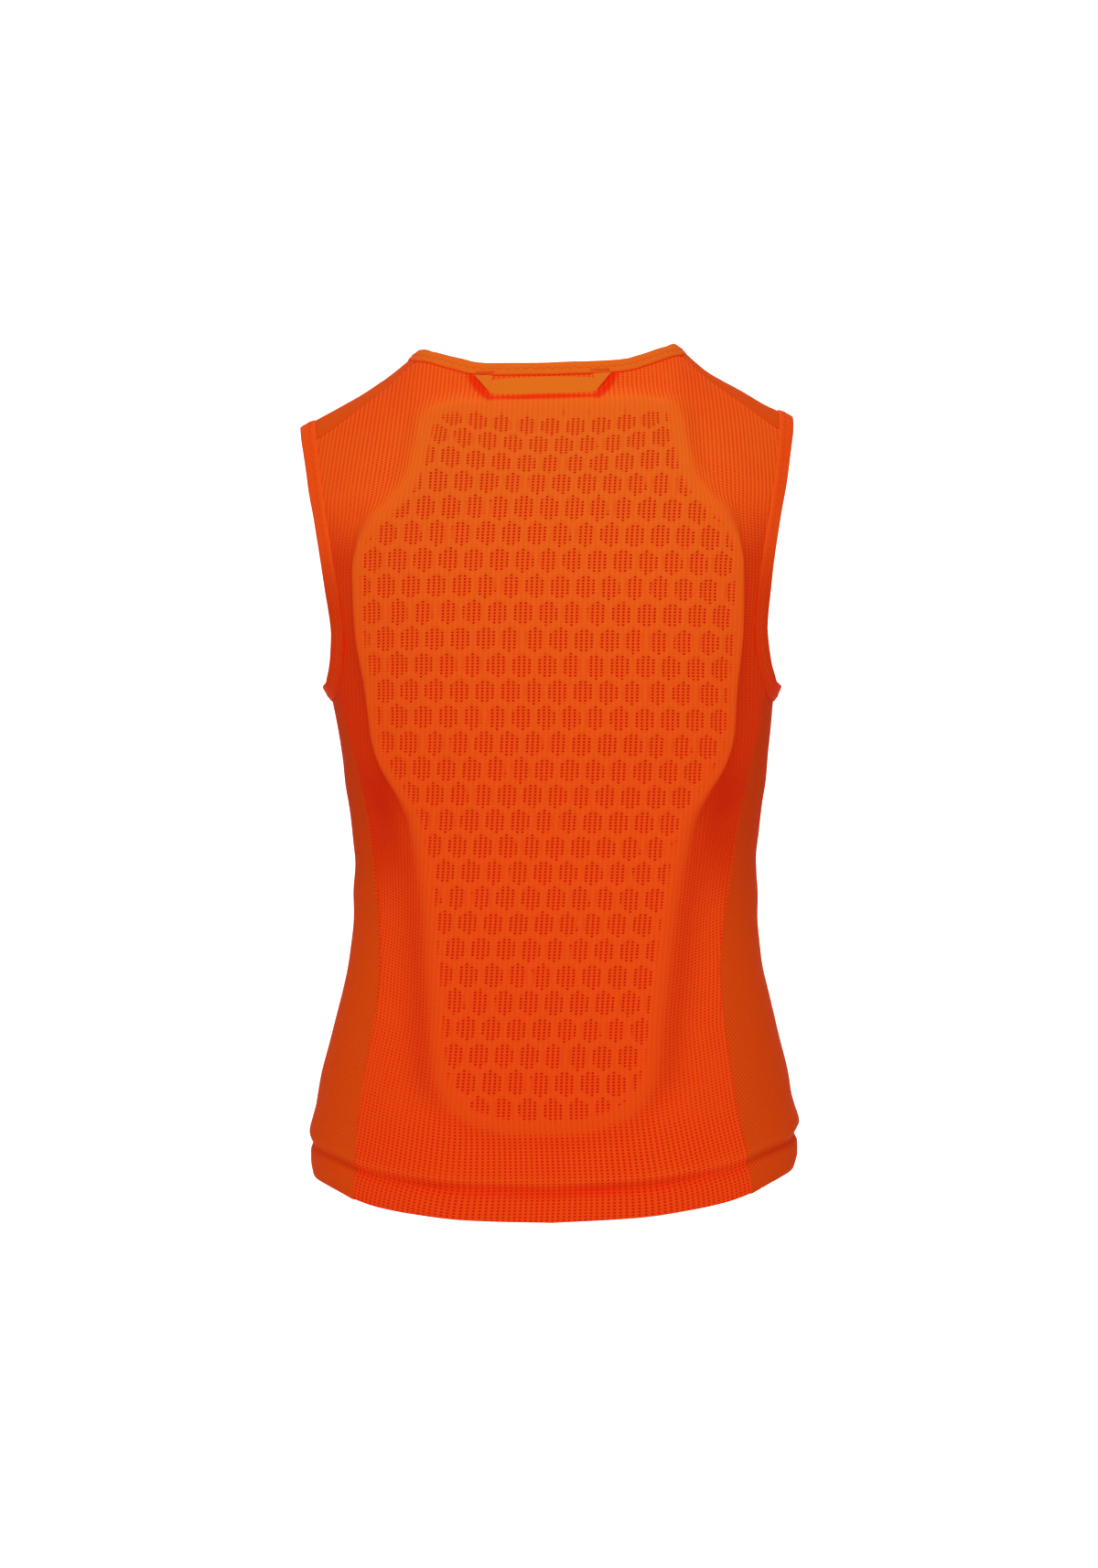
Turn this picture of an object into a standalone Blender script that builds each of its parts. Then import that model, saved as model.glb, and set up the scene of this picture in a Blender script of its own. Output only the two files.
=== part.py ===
"""Sleeveless cycling vest with a back protector, filled out and hollow, as it looks when worn.

The back faces -Y, the zip is on the front at +Y, and +Z is up. The origin lies between the two
neck points, on the line where the shoulders carry the vest. Sizes here are in millimetres and
become metres in make_object().
"""
import math

import bpy
import bmesh
from mathutils import Matrix, Vector
from mathutils.geometry import delaunay_2d_cdt

MM = 0.001
BACK, FRONT = -1, 1

# ---- driving sizes -------------------------------------------------------------------------
SEAM_GAP = 0.3            # between neighbouring pieces
MESH_WALL = 2.2           # open spacer mesh of the back
CLOTH_WALL = 1.8          # plain knit and the finer mesh of the sides
PAD_THICKNESS = 9.0
PAD_RISE = 8.0            # how far the cloth is lifted over the protector
PAD_RISE_LOW = 5.5        # and over its lower end
PAD_THINS = (-380.0, -500.0)   # heights between which the rise falls off
PAD_EDGE = 6.0            # width of the slope round the protector
NECK_BINDING_WIDTH = 12.0
ARM_BINDING_WIDTH = 12.5
HEM_TURN = 21.0           # from the lower edge up to the stitched groove
FRONT_DROP = 11.0         # the front's hem hangs lower at the zip than at the sides
HEM_LEVEL = -579.0        # of the hem at the sides
SHOULDER_TILT = 0.022     # the photographed vest hangs a little higher on its right
SHOULDER_TILT_FROM = -250.0    # height where that starts, coming up
HEM_TILT = 0.015
HEM_TILT_FROM = -400.0    # height where that starts, going down
TILT_FADE = 150.0         # height over which either comes in
ZIP_HALF_WIDTH = 3.2

# Roundness of the body's section (2 is an ellipse) and height of the shoulder's rounding.
SQUARENESS = {BACK: 2.5, FRONT: 2.3}
SHOULDER_ROUND = {BACK: 110.0, FRONT: 150.0}


class Table:
    """Rows in rising order of their first column, read with a smooth curve down each column."""

    def __init__(self, columns, rows):
        self.columns = columns.split()
        self.rows = rows
        self.keys = [row[0] for row in rows]

    def _slope(self, column, i):
        last = len(self.rows) - 1
        before = self._chord(column, max(i - 1, 0))
        after = self._chord(column, min(i, last - 1))
        if before * after <= 0:
            return 0.0
        return 2 * before * after / (before + after)

    def _chord(self, column, i):
        return (self.rows[i + 1][column] - self.rows[i][column]) / (self.keys[i + 1] - self.keys[i])

    def read(self, name, at):
        column = self.columns.index(name)
        if at <= self.keys[0]:
            return self.rows[0][column]
        if at >= self.keys[-1]:
            return self.rows[-1][column]
        i = max(k for k in range(len(self.keys) - 1) if self.keys[k] <= at)
        span = self.keys[i + 1] - self.keys[i]
        t = (at - self.keys[i]) / span
        a, b = self.rows[i][column], self.rows[i + 1][column]
        slope_a, slope_b = self._slope(column, i) * span, self._slope(column, i + 1) * span
        return (a * (1 + 2 * t) * (1 - t) ** 2 + slope_a * t * (1 - t) ** 2
                + b * t * t * (3 - 2 * t) + slope_b * t * t * (t - 1))


# Level sections of the body the vest is filled out to. Centre is how far the section lies to the
# right, and turn how much further its back lies, 100 mm behind the middle.
SECTIONS = Table("z half back front centre turn", [
    (-620, 170.0, 108, 112, 3.0, -1.0),
    (-590, 170.5, 107, 112, 3.6, -1.5),
    (-555, 171.5, 106, 111, 4.0, -4.5),
    (-532, 168.0, 104, 109, 4.2, -6.5),
    (-506, 162.8, 101, 107, 4.4, -7.0),
    (-480, 156.6, 98, 105, 4.7, -7.0),
    (-454, 150.4, 96, 103, 5.0, -6.8),
    (-428, 145.4, 94, 102, 5.1, -6.5),
    (-402, 142.8, 93, 102, 5.2, -5.8),
    (-376, 142.3, 93, 103, 5.2, -5.0),
    (-350, 143.6, 94, 105, 5.1, -4.3),
    (-324, 146.2, 96, 108, 5.0, -3.6),
    (-298, 149.7, 99, 112, 4.6, -2.9),
    (-272, 153.2, 102, 115, 4.0, -2.2),
    (-246, 157.0, 104, 117, 2.6, -1.5),
    (-207, 165.0, 107, 117, 0.6, -0.5),
    (-181, 171.0, 108, 114, -0.6, 0.3),
    (-155, 175.5, 108, 109, -1.6, 1.1),
    (-129, 178.3, 107, 103, -2.0, 1.9),
    (-103, 181.0, 105, 96, -2.1, 2.7),
    (-77, 182.5, 102, 89, -2.0, 3.4),
    (-50, 184.0, 98, 82, -1.9, 4.0),
    (20, 184.0, 90, 72, -1.3, 4.0),
])
# Height of the shoulder's ridge along X. Inside the neck it only shapes the cloth round the hole.
RIDGE = Table("x z", [
    (0, 14.0), (30, 12.5), (50, 9.5), (65, 7.0), (78, 4.2), (90, -0.2), (97.5, -6.1),
    (105, -12.6), (113, -18.7), (121, -23.6), (136, -32.6), (152, -41.8), (164, -47.6),
    (180, -56.0),
])
# Where the binding meets the cloth round the neck, from the middle out to the yoke.
NECK_BACK = [(0, -26.6), (40, -25.6), (57, -23.4), (66, -20.3), (76, -16.6), (87, -12.2)]
NECK_FRONT = [(3.5, -84.0), (30, -80.5), (55, -68.0), (75, -49.0), (88, -30.0)]
# The yoke: its ends along X at the ridge, and how far round the shoulder it reaches, in degrees.
YOKE_NECK = {"ridge": 98.8, BACK: 93.5, FRONT: 94.5}
YOKE_ARM = {"ridge": 164.0, BACK: 162.3, FRONT: 161.5}
YOKE_REACH = {BACK: (22.0, 32.8), FRONT: (25.0, 34.0)}
# Where the binding meets the cloth round the armhole, from the yoke down to the side panel.
ARMHOLE = {
    BACK: [(158.5, -93), (154.0, -121), (149.5, -147), (144.3, -185), (143.2, -210),
           (145.5, -230)],
    FRONT: [(156.0, -93), (149.0, -121), (143.5, -147), (139.5, -185), (140.5, -210),
            (144.5, -230)],
}
UNDERARM = (149.5, -244.0)
UNDERARM_DIP = 7.0
ARMHOLE_MIDDLE = -150.0   # height
FLARE, FLARE_START, FLARE_FULL = 20.0, -205.0, -250.0   # lean of the binding under the arm
# Seams between the side panels and the back and front.
SIDE_SEAM = Table("z back front", [
    (-600, 138.0, 150.0), (-545, 131.8, 144.0), (-505, 126.0, 138.0), (-470, 120.5, 133.0),
    (-440, 118.3, 130.5), (-412, 119.5, 130.0), (-375, 124.0, 131.0), (-345, 127.5, 134.0),
    (-300, 136.0, 140.0), (-272, 143.5, 146.0), (-244, 149.5, 149.5),
])
# How far the back's hem hangs below the sides, by distance from the middle as a share of half
# the width.
TAIL = Table("share drop", [
    (0, 29.5), (0.35, 27.3), (0.55, 23.6), (0.7, 19.5), (0.79, 15.4), (0.85, 11.4),
    (0.89, 8.8), (0.94, 5.9), (0.98, 3.6), (1, 0.0),
])
# Lift of the turned hem over the body, by height above its lower edge.
HEM_PROFILE = Table("height lift", [
    (0, 0.0), (6, 1.3), (14, 1.2), (HEM_TURN, -0.9), (28, 1.9), (38, 1.0), (50, 0.0),
])
# Outline of the protector, half its width by height.
PAD_OUTLINE = Table("z half", [
    (-548, 26.0), (-540, 52.0), (-529, 65.5), (-513, 74.0), (-490, 77.5), (-470, 79.0),
    (-432, 82.0), (-393, 85.5), (-355, 91.5), (-335, 96.5), (-316, 107.0), (-296, 118.5),
    (-277, 124.0), (-247, 127.0), (-200, 133.0), (-161, 134.0), (-142, 131.0), (-126, 121.5),
    (-115, 109.0), (-100, 97.5), (-80, 91.5), (-57, 86.5), (-50, 79.0), (-47, 62.0),
])
# Wells in the protector: upright hexagons on a staggered grid, whose middle wanders a little.
WELL_GRID = Table("z middle pitch", [
    (-540, -2.6, 16.8), (-430, -3.0, 16.75), (-370, -4.1, 16.55), (-316, -4.3, 16.45),
    (-270, -3.6, 16.45), (-229, -2.2, 16.55), (-193, -0.9, 16.6), (-158, -0.2, 16.6),
    (-57, -0.5, 16.65),
])
WELL_PITCH_Z = 17.7
WELL_FIRST_Z = -104.6
WELL_ROWS, WELL_COLUMNS = 25, 9   # rows down, and columns each side
WELL_LOW_ROW = 18         # below this row the rows lie further apart,
WELL_LOW_EXTRA = 0.5      # by this much
WELL_FALL = 0.014         # the rows fall this steeply to the right in the placed vest
WELL_WIDTH = 12.2
WELL_HEIGHT = 17.0
WELL_TOP_SHARE = 0.68     # height of the uppermost rows' wells as a share of the others'
WELL_FIRST_SHARE = 0.82   # and of the wells in the first even row
WELL_DEPTH = 1.5
WELL_FLOOR = 0.68         # width of a well's floor as a share of its mouth
WELL_MARGIN = 12.2        # least distance of a well's middle from the protector's outline
WELL_CLEARANCE = 0.2      # least distance of a well's corner from the slope's upper edge
# The uppermost rows sag: height of each at its ends and in its middle.
TOP_ROWS = [(-58.5, -69.0), (-71.0, -80.4), (-86.5, -93.3)]
TOP_ROW_REACH = 85.0

COLOURS = {
    "mesh": (0.79, 0.077, 0.008), "side": (0.59, 0.051, 0.004), "yoke": (0.68, 0.072, 0.006),
    "binding": (0.745, 0.133, 0.012), "tape": (0.73, 0.162, 0.013), "foam": (0.70, 0.10, 0.012),
    "coil": (0.55, 0.06, 0.006), "metal": (0.30, 0.30, 0.31),
}


# ---- the form ------------------------------------------------------------------------------
def ridge(x):
    return RIDGE.read("z", abs(x))


def fullness(side, x, z):
    """How much of the section's depth is left at this distance from the middle."""
    power = SQUARENESS[side]
    share = min(abs(x) / SECTIONS.read("half", z), 0.9999)
    return (1 - share ** power) ** (1 / power)


def section_depth(side, z):
    return SECTIONS.read("back" if side == BACK else "front", z)


def depth_at(side, x, z):
    fall = max(ridge(x) - z, 0.0) / SHOULDER_ROUND[side]
    rounding = math.sqrt(1 - (1 - fall) ** 2) if fall < 1 else 1.0
    return side * section_depth(side, z) * fullness(side, x, z) * rounding


def on_body(side, x, z, step=0.05):
    """A point of the form and its outward normal, by its place seen from the back or front."""
    slope_x = (depth_at(side, x + step, z) - depth_at(side, x - step, z)) / (2 * step)
    slope_z = (depth_at(side, x, z + step) - depth_at(side, x, z - step)) / (2 * step)
    normal = Vector((-slope_x, 1.0, -slope_z)) * side
    return Vector((x, depth_at(side, x, z), z)), normal.normalized()


def shoulder_point(x, angle):
    side = BACK if angle < 0 else FRONT
    z = ridge(x) - SHOULDER_ROUND[side] * (1 - math.cos(angle))
    y = section_depth(side, z) * fullness(side, x, z) * math.sin(angle)
    return Vector((x, y, z))


def on_shoulder(x, angle, step=0.004):
    along = shoulder_point(x + 0.1, angle) - shoulder_point(x - 0.1, angle)
    across = shoulder_point(x, angle + step) - shoulder_point(x, angle - step)
    return shoulder_point(x, angle), along.cross(across).normalized()


def flank_point(angle, z):
    side = BACK if angle < 0 else FRONT
    power = 2 / SQUARENESS[side]
    x = SECTIONS.read("half", z) * math.cos(angle) ** power
    y = side * section_depth(side, z) * abs(math.sin(angle)) ** power
    return Vector((x, y, z))


def on_flank(angle, z, step=0.002):
    round_it = flank_point(angle + step, z) - flank_point(angle - step, z)
    up = flank_point(angle, z + 0.1) - flank_point(angle, z - 0.1)
    return flank_point(angle, z), round_it.cross(up).normalized()


def flank_angle(side, x, z):
    share = min(x / SECTIONS.read("half", z), 1.0)
    return side * math.acos(share ** (SQUARENESS[side] / 2))


def hem_line(side, x):
    share = min(abs(x) / SECTIONS.read("half", HEM_LEVEL), 1.0)
    if side == BACK:
        return HEM_LEVEL - TAIL.read("drop", share)
    return HEM_LEVEL - FRONT_DROP * (1 - share ** 2)


def hem_lift(side, x, z):
    return HEM_PROFILE.read("lift", z - hem_line(side, x))


def mirrored(spot, hand):
    """A point and its normal on the left (hand -1) or right (hand 1)."""
    point, normal = spot
    return Vector((hand * point.x, point.y, point.z)), Vector((hand * normal.x, normal.y, normal.z))


def tilt_at(z):
    """How steeply the placed vest rises to the right."""
    tilt = SHOULDER_TILT * min(max((z - SHOULDER_TILT_FROM) / TILT_FADE, 0.0), 1.0)
    return tilt + HEM_TILT * min(max((HEM_TILT_FROM - z) / TILT_FADE, 0.0), 1.0)


def place(point):
    """Turn the even form a little, as the vest hangs in the photograph."""
    shift = SECTIONS.read("centre", point.z) - SECTIONS.read("turn", point.z) * point.y / 100
    return Vector((point.x + shift, point.y, point.z + tilt_at(point.z) * point.x))


# ---- flat geometry -------------------------------------------------------------------------
def spread(points, count):
    """Points evenly spaced along a smooth curve through the given ones."""
    points = [Vector(p) for p in points]
    fine = []
    for i in range(len(points) - 1):
        a, b = points[i], points[i + 1]
        before = points[i - 1] if i else a * 2 - b
        after = points[i + 2] if i + 2 < len(points) else b * 2 - a
        for k in range(12):
            t = k / 12
            fine.append(0.5 * (2 * a + (b - before) * t
                               + (2 * before - 5 * a + 4 * b - after) * t ** 2
                               + (3 * a - before - 3 * b + after) * t ** 3))
    fine.append(points[-1])
    lengths = [0.0]
    for i in range(len(fine) - 1):
        lengths.append(lengths[-1] + (fine[i + 1] - fine[i]).length)
    result, i = [], 0
    for k in range(count + 1):
        wanted = lengths[-1] * k / count
        while i < len(fine) - 2 and lengths[i + 1] < wanted:
            i += 1
        t = (wanted - lengths[i]) / max(lengths[i + 1] - lengths[i], 1e-9)
        result.append(fine[i].lerp(fine[i + 1], min(max(t, 0.0), 1.0)))
    return result


def distance_to(point, loop):
    best = 1e9
    for i in range(len(loop)):
        a, b = loop[i - 1], loop[i]
        edge = b - a
        t = min(max((point - a).dot(edge) / max(edge.length_squared, 1e-12), 0.0), 1.0)
        best = min(best, (point - a - edge * t).length)
    return best


def inside(point, loop):
    result = False
    for i in range(len(loop)):
        a, b = loop[i - 1], loop[i]
        if (a.y > point.y) != (b.y > point.y):
            if point.x < (b.x - a.x) * (point.y - a.y) / (b.y - a.y) + a.x:
                result = not result
    return result


def inset(loop, amount):
    """A loop that runs anticlockwise, drawn in by an amount."""
    result = []
    for i in range(len(loop)):
        before, here, after = loop[i - 1], loop[i], loop[(i + 1) % len(loop)]
        into, out = (here - before).normalized(), (after - here).normalized()
        bend = Vector((-into.y - out.y, into.x + out.x))
        bend.normalize()
        stretch = max(bend.dot(Vector((-into.y, into.x))), 0.4)
        result.append(here + bend * (amount / stretch))
    return result


def triangulate(loops, loose):
    """Triangles over closed loops and loose points. The first loop bounds the area."""
    points = [p for loop in loops for p in loop] + list(loose)
    edges, start = [], 0
    for loop in loops:
        edges += [(start + i, start + (i + 1) % len(loop)) for i in range(len(loop))]
        start += len(loop)
    found = delaunay_2d_cdt(points, edges, [], 0, 1e-6)
    source = [originals[0] for originals in found[3]]
    triangles = []
    for face in found[2]:
        corners = [found[0][k] for k in face]
        if inside(sum(corners, Vector((0, 0))) / 3, loops[0]):
            triangles.append([source[k] for k in face])
    return points, triangles


# ---- meshes --------------------------------------------------------------------------------
def make_object(name, points, faces, collection, material):
    """One closed body from points in millimetres, with its faces turned outward."""
    mesh = bpy.data.meshes.new(name)
    body = bmesh.new()
    corners = [body.verts.new(place(p) * MM) for p in points]
    for face in faces:
        body.faces.new([corners[i] for i in face])
    bmesh.ops.triangulate(body, faces=body.faces)
    bmesh.ops.recalc_face_normals(body, faces=body.faces)
    if body.calc_volume(signed=True) < 0:
        bmesh.ops.reverse_faces(body, faces=body.faces)
    body.to_mesh(mesh)
    body.free()
    mesh.materials.append(material)
    obj = bpy.data.objects.new(name, mesh)
    collection.objects.link(obj)
    return obj


def wall_between(outer, outer_faces, inner, inner_faces, rim):
    """Two skins joined along their first points, which run round the edge in the same order."""
    shift = len(outer)
    faces = [tuple(f) for f in outer_faces]
    faces += [tuple(shift + i for i in reversed(f)) for f in inner_faces]
    for i in range(rim):
        j = (i + 1) % rim
        faces.append((j, i, shift + i, shift + j))
    return outer + inner, faces


def grid_wall(rows, outer_lift, inner_lift):
    """A wall from a grid of spots: rows[j][i] is a point and its normal."""
    high, wide = len(rows), len(rows[0])
    count = high * wide
    points = [p + n * outer_lift(p) for row in rows for p, n in row]
    points += [p + n * inner_lift(p) for row in rows for p, n in row]
    faces = []
    for j in range(high - 1):
        for i in range(wide - 1):
            a = j * wide + i
            quad = (a, a + 1, a + wide + 1, a + wide)
            faces.append(quad)
            faces.append(tuple(count + k for k in reversed(quad)))
    edge = [i for i in range(wide)]
    edge += [j * wide + wide - 1 for j in range(1, high)]
    edge += [(high - 1) * wide + i for i in range(wide - 2, -1, -1)]
    edge += [j * wide for j in range(high - 2, 0, -1)]
    for k in range(len(edge)):
        a, b = edge[k], edge[(k + 1) % len(edge)]
        faces.append((b, a, count + a, count + b))
    return points, faces


def sweep(spots, sideways, profile, closed):
    """A strip with the same cross-section at each spot: (across, out) pairs in profile."""
    points, faces = [], []
    size, count = len(profile), len(spots)
    for (point, normal), side in zip(spots, sideways):
        points += [point + side * across + normal * out for across, out in profile]
    for k in range(count if closed else count - 1):
        here, there = k * size, (k + 1) % count * size
        for i in range(size):
            j = (i + 1) % size
            faces.append((here + i, here + j, there + j, there + i))
    if not closed:
        faces.append(tuple(reversed(range(size))))
        faces.append(tuple((count - 1) * size + i for i in range(size)))
    return points, faces


# ---- seams ---------------------------------------------------------------------------------
NECK_BACK_STEPS, NECK_FRONT_STEPS, YOKE_STEPS, YOKE_ROWS = 9, 8, 7, 6
ARMHOLE_STEPS, FLANK_COLUMNS = 12, 8
HEM_HEIGHTS = [0, 6, 14, HEM_TURN, 28, 38, 50]
SEAM_LEVELS = 12
BACK_HEM_COLUMNS, FRONT_HEM_COLUMNS, ZIP_EDGE_LEVELS = 18, 8, 16
CLOTH_SPACING, CLOTH_MARGIN = 24.0, 9.0   # of the points inside a panel


def yoke_reach(side, x):
    share = (x - YOKE_NECK[side]) / (YOKE_ARM[side] - YOKE_NECK[side])
    near, far = YOKE_REACH[side]
    return math.radians(near + (far - near) * min(max(share, 0.0), 1.0))


def yoke_end(ends, t):
    """X of an end of the yoke, with t from -1 at its back seam to 1 at its front seam."""
    side = BACK if t < 0 else FRONT
    return ends["ridge"] + (ends[side] - ends["ridge"]) * t * t


def yoke_seam(side):
    """Back or front seam of the yoke as (x, z), from the neck to the armhole."""
    result = []
    for i in range(YOKE_STEPS + 1):
        x = YOKE_NECK[side] + (YOKE_ARM[side] - YOKE_NECK[side]) * i / YOKE_STEPS
        point = shoulder_point(x, side * yoke_reach(side, x))
        result.append(Vector((x, point.z)))
    return result


def neck_seam(side):
    """From the middle, or from the zip, to the yoke."""
    rows, steps = (NECK_BACK, NECK_BACK_STEPS) if side == BACK else (NECK_FRONT, NECK_FRONT_STEPS)
    return spread(rows + [tuple(yoke_seam(side)[0])], steps)


def armhole_seam(side):
    """From the yoke down to the side panel."""
    rows = [tuple(yoke_seam(side)[-1])] + ARMHOLE[side] + [UNDERARM]
    return spread(rows, ARMHOLE_STEPS)


def underarm_dip(share):
    """How far the armhole sags below the side panel's upper corners, from back to front."""
    return UNDERARM_DIP * math.sqrt(1 - (2 * share - 1) ** 2)


def side_seam_x(side, z):
    return SIDE_SEAM.read("back" if side == BACK else "front", z)


def levels_between(top, bottom):
    """Heights from the armhole down to the hem, closer together over the turned hem."""
    low = bottom + HEM_HEIGHTS[-1]
    levels = [top + (low - top) * i / SEAM_LEVELS for i in range(SEAM_LEVELS)]
    return levels + [bottom + height for height in reversed(HEM_HEIGHTS)]


def side_seam(side):
    bottom = hem_line(side, side_seam_x(side, HEM_LEVEL))
    return [Vector((side_seam_x(side, z), z)) for z in levels_between(UNDERARM[1], bottom)]


# ---- panels --------------------------------------------------------------------------------
def pad_loop(drawn_in=0.0):
    """Outline of the protector, anticlockwise from its lower left corner."""
    levels = [row[0] for row in PAD_OUTLINE.rows]
    right = [Vector((PAD_OUTLINE.read("half", z), z)) for z in levels]
    left = [Vector((-p.x, p.y)) for p in reversed(right)]
    half_top = right[-1].x / 2
    top = [Vector((x, levels[-1])) for x in (half_top, 0, -half_top)]
    bottom = [Vector((0, levels[0] - 1))]
    loop = right + top + left + bottom
    return inset(loop, drawn_in) if drawn_in else loop


def pad_rise(z):
    start, end = PAD_THINS
    share = min(max((start - z) / (start - end), 0.0), 1.0)
    return PAD_RISE + (PAD_RISE_LOW - PAD_RISE) * share


def row_level(row, x):
    """Height of a row of wells. Rows below 0 are the uppermost ones, which sag."""
    if row < 0:
        ends, middle = TOP_ROWS[row + len(TOP_ROWS)]
        z = ends + (middle - ends) * max(1 - (x / TOP_ROW_REACH) ** 2, 0.0)
    else:
        z = WELL_FIRST_Z - row * WELL_PITCH_Z - max(row - WELL_LOW_ROW, 0) * WELL_LOW_EXTRA
    return z - (WELL_FALL + tilt_at(z)) * x


def wells():
    """Middle and height of each well that lies wholly on the protector."""
    outline, field = pad_loop(), pad_loop(PAD_EDGE)
    found = []
    for row in range(-len(TOP_ROWS), WELL_ROWS):
        pitch = WELL_GRID.read("pitch", row_level(row, 0))
        middle = WELL_GRID.read("middle", row_level(row, 0))
        share = WELL_TOP_SHARE if row < 0 else WELL_FIRST_SHARE if row == 0 else 1.0
        for column in range(-WELL_COLUMNS, WELL_COLUMNS + 1):
            x = middle + pitch * (column if row % 2 else column + 0.5)
            centre = Vector((x, row_level(row, x)))
            if not inside(centre, field) or distance_to(centre, outline) < WELL_MARGIN:
                continue
            well = (centre, WELL_HEIGHT * share)
            if all(inside(p, field) and distance_to(p, field) > WELL_CLEARANCE
                   for p in well_corners(well)):
                found.append(well)
    return found


def well_corners(well, share=1.0):
    centre, height = well
    high, wide = share * height / 2, share * WELL_WIDTH / 2
    corners = [(0, -high), (wide, -high / 2), (wide, high / 2), (0, high), (-wide, high / 2),
               (-wide, -high / 2)]
    return [centre + Vector(corner) for corner in corners]


def lattice(loop, avoid=()):
    """Points over the inside of a loop, staggered, clear of it and of the loops to avoid."""
    left, right = min(p.x for p in loop), max(p.x for p in loop)
    foot, top = min(p.y for p in loop), max(p.y for p in loop)
    result = []
    for j in range(int((top - foot) / CLOTH_SPACING) + 2):
        for i in range(int((right - left) / CLOTH_SPACING) + 2):
            point = Vector((left + (i + 0.5 * (j % 2)) * CLOTH_SPACING, foot + j * CLOTH_SPACING))
            if inside(point, loop) and distance_to(point, loop) > CLOTH_MARGIN:
                if all(distance_to(point, other) > CLOTH_MARGIN for other in avoid):
                    result.append(point)
    return result


def above_hem(side, point):
    return point.y > hem_line(side, 0) + HEM_HEIGHTS[-1] + CLOTH_MARGIN


def hem_rows(side, near, far, columns):
    """Points over the turned hem between two edges, each given as x by height."""
    result = []
    for height in HEM_HEIGHTS[1:]:
        for i in range(1, columns):
            share = i / columns
            x = near(HEM_LEVEL + height) * (1 - share) + far(HEM_LEVEL + height) * share
            result.append(Vector((x, hem_line(side, x) + height)))
    return result


def back_panel(collection, material):
    """One piece from neck to hem, lifted over the protector and sunk into its wells."""
    half = neck_seam(BACK)[:-1] + yoke_seam(BACK)[:-1] + armhole_seam(BACK)[:-1]
    half += side_seam(BACK)
    hem = []
    corner = half[-1].x
    for i in range(1, BACK_HEM_COLUMNS):
        x = corner - 2 * corner * i / BACK_HEM_COLUMNS
        hem.append(Vector((x, hem_line(BACK, x))))
    left = [Vector((-p.x, p.y)) for p in reversed(half[1:])]
    clockwise = half + hem + left
    outline = inset(list(reversed(clockwise)), SEAM_GAP / 2)
    pad_foot, pad_top = pad_loop(), pad_loop(PAD_EDGE)
    found = wells()
    well_loops = [well_corners(well) for well in found]
    well_loops += [well_corners(well, WELL_FLOOR) for well in found]

    hem_points = hem_rows(BACK, lambda z: -side_seam_x(BACK, z), lambda z: side_seam_x(BACK, z),
                          BACK_HEM_COLUMNS)
    open_cloth = [p for p in lattice(outline, avoid=[pad_foot])
                  if not inside(p, pad_foot) and above_hem(BACK, p)]
    under_pad = lattice(pad_top)

    fine, fine_faces = triangulate([outline, pad_foot, pad_top] + well_loops,
                                   open_cloth + hem_points)
    plain, plain_faces = triangulate([outline, pad_foot, pad_top], open_cloth + under_pad)
    first_well = len(outline) + len(pad_foot) + len(pad_top)
    over_pad = set(range(len(outline) + len(pad_foot), first_well))
    floors = range(first_well + 6 * len(found), first_well + 12 * len(found))

    def rise(point, i):
        return pad_rise(point.y) if i in over_pad or inside(point, pad_top) else 0.0

    outer = []
    for i, flat in enumerate(fine):
        point, normal = on_body(BACK, flat.x, flat.y)
        lift = rise(flat, i) + hem_lift(BACK, flat.x, flat.y)
        if i in floors:
            lift -= WELL_DEPTH
        outer.append(point + normal * lift)
    inner = []
    for i, flat in enumerate(plain):
        point, normal = on_body(BACK, flat.x, flat.y)
        inner.append(point + normal * (rise(flat, i) - MESH_WALL))
    points, faces = wall_between(outer, fine_faces, inner, plain_faces, len(outline))
    make_object("back_panel", points, faces, collection, material["mesh"])

    # The protector lies under the raised field, on the same points, one gap further in.
    under = over_pad | {k for k in range(first_well, len(plain)) if inside(plain[k], pad_top)}
    slab = [f for f in plain_faces if under.issuperset(f)]
    used = list(over_pad) + sorted({k for f in slab for k in f} - over_pad)
    order = {k: i for i, k in enumerate(used)}
    edge = inset(pad_top, SEAM_GAP)
    flat = [edge[i] if i < len(edge) else plain[k] for i, k in enumerate(used)]
    outer, inner = [], []
    for x, z in flat:
        point, normal = on_body(BACK, x, z)
        face = pad_rise(z) - MESH_WALL - SEAM_GAP
        outer.append(point + normal * face)
        inner.append(point + normal * (face - PAD_THICKNESS))
    slab = [[order[k] for k in f] for f in slab]
    points, faces = wall_between(outer, slab, inner, slab, len(edge))
    make_object("back_protector", points, faces, collection, material["foam"])


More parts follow.
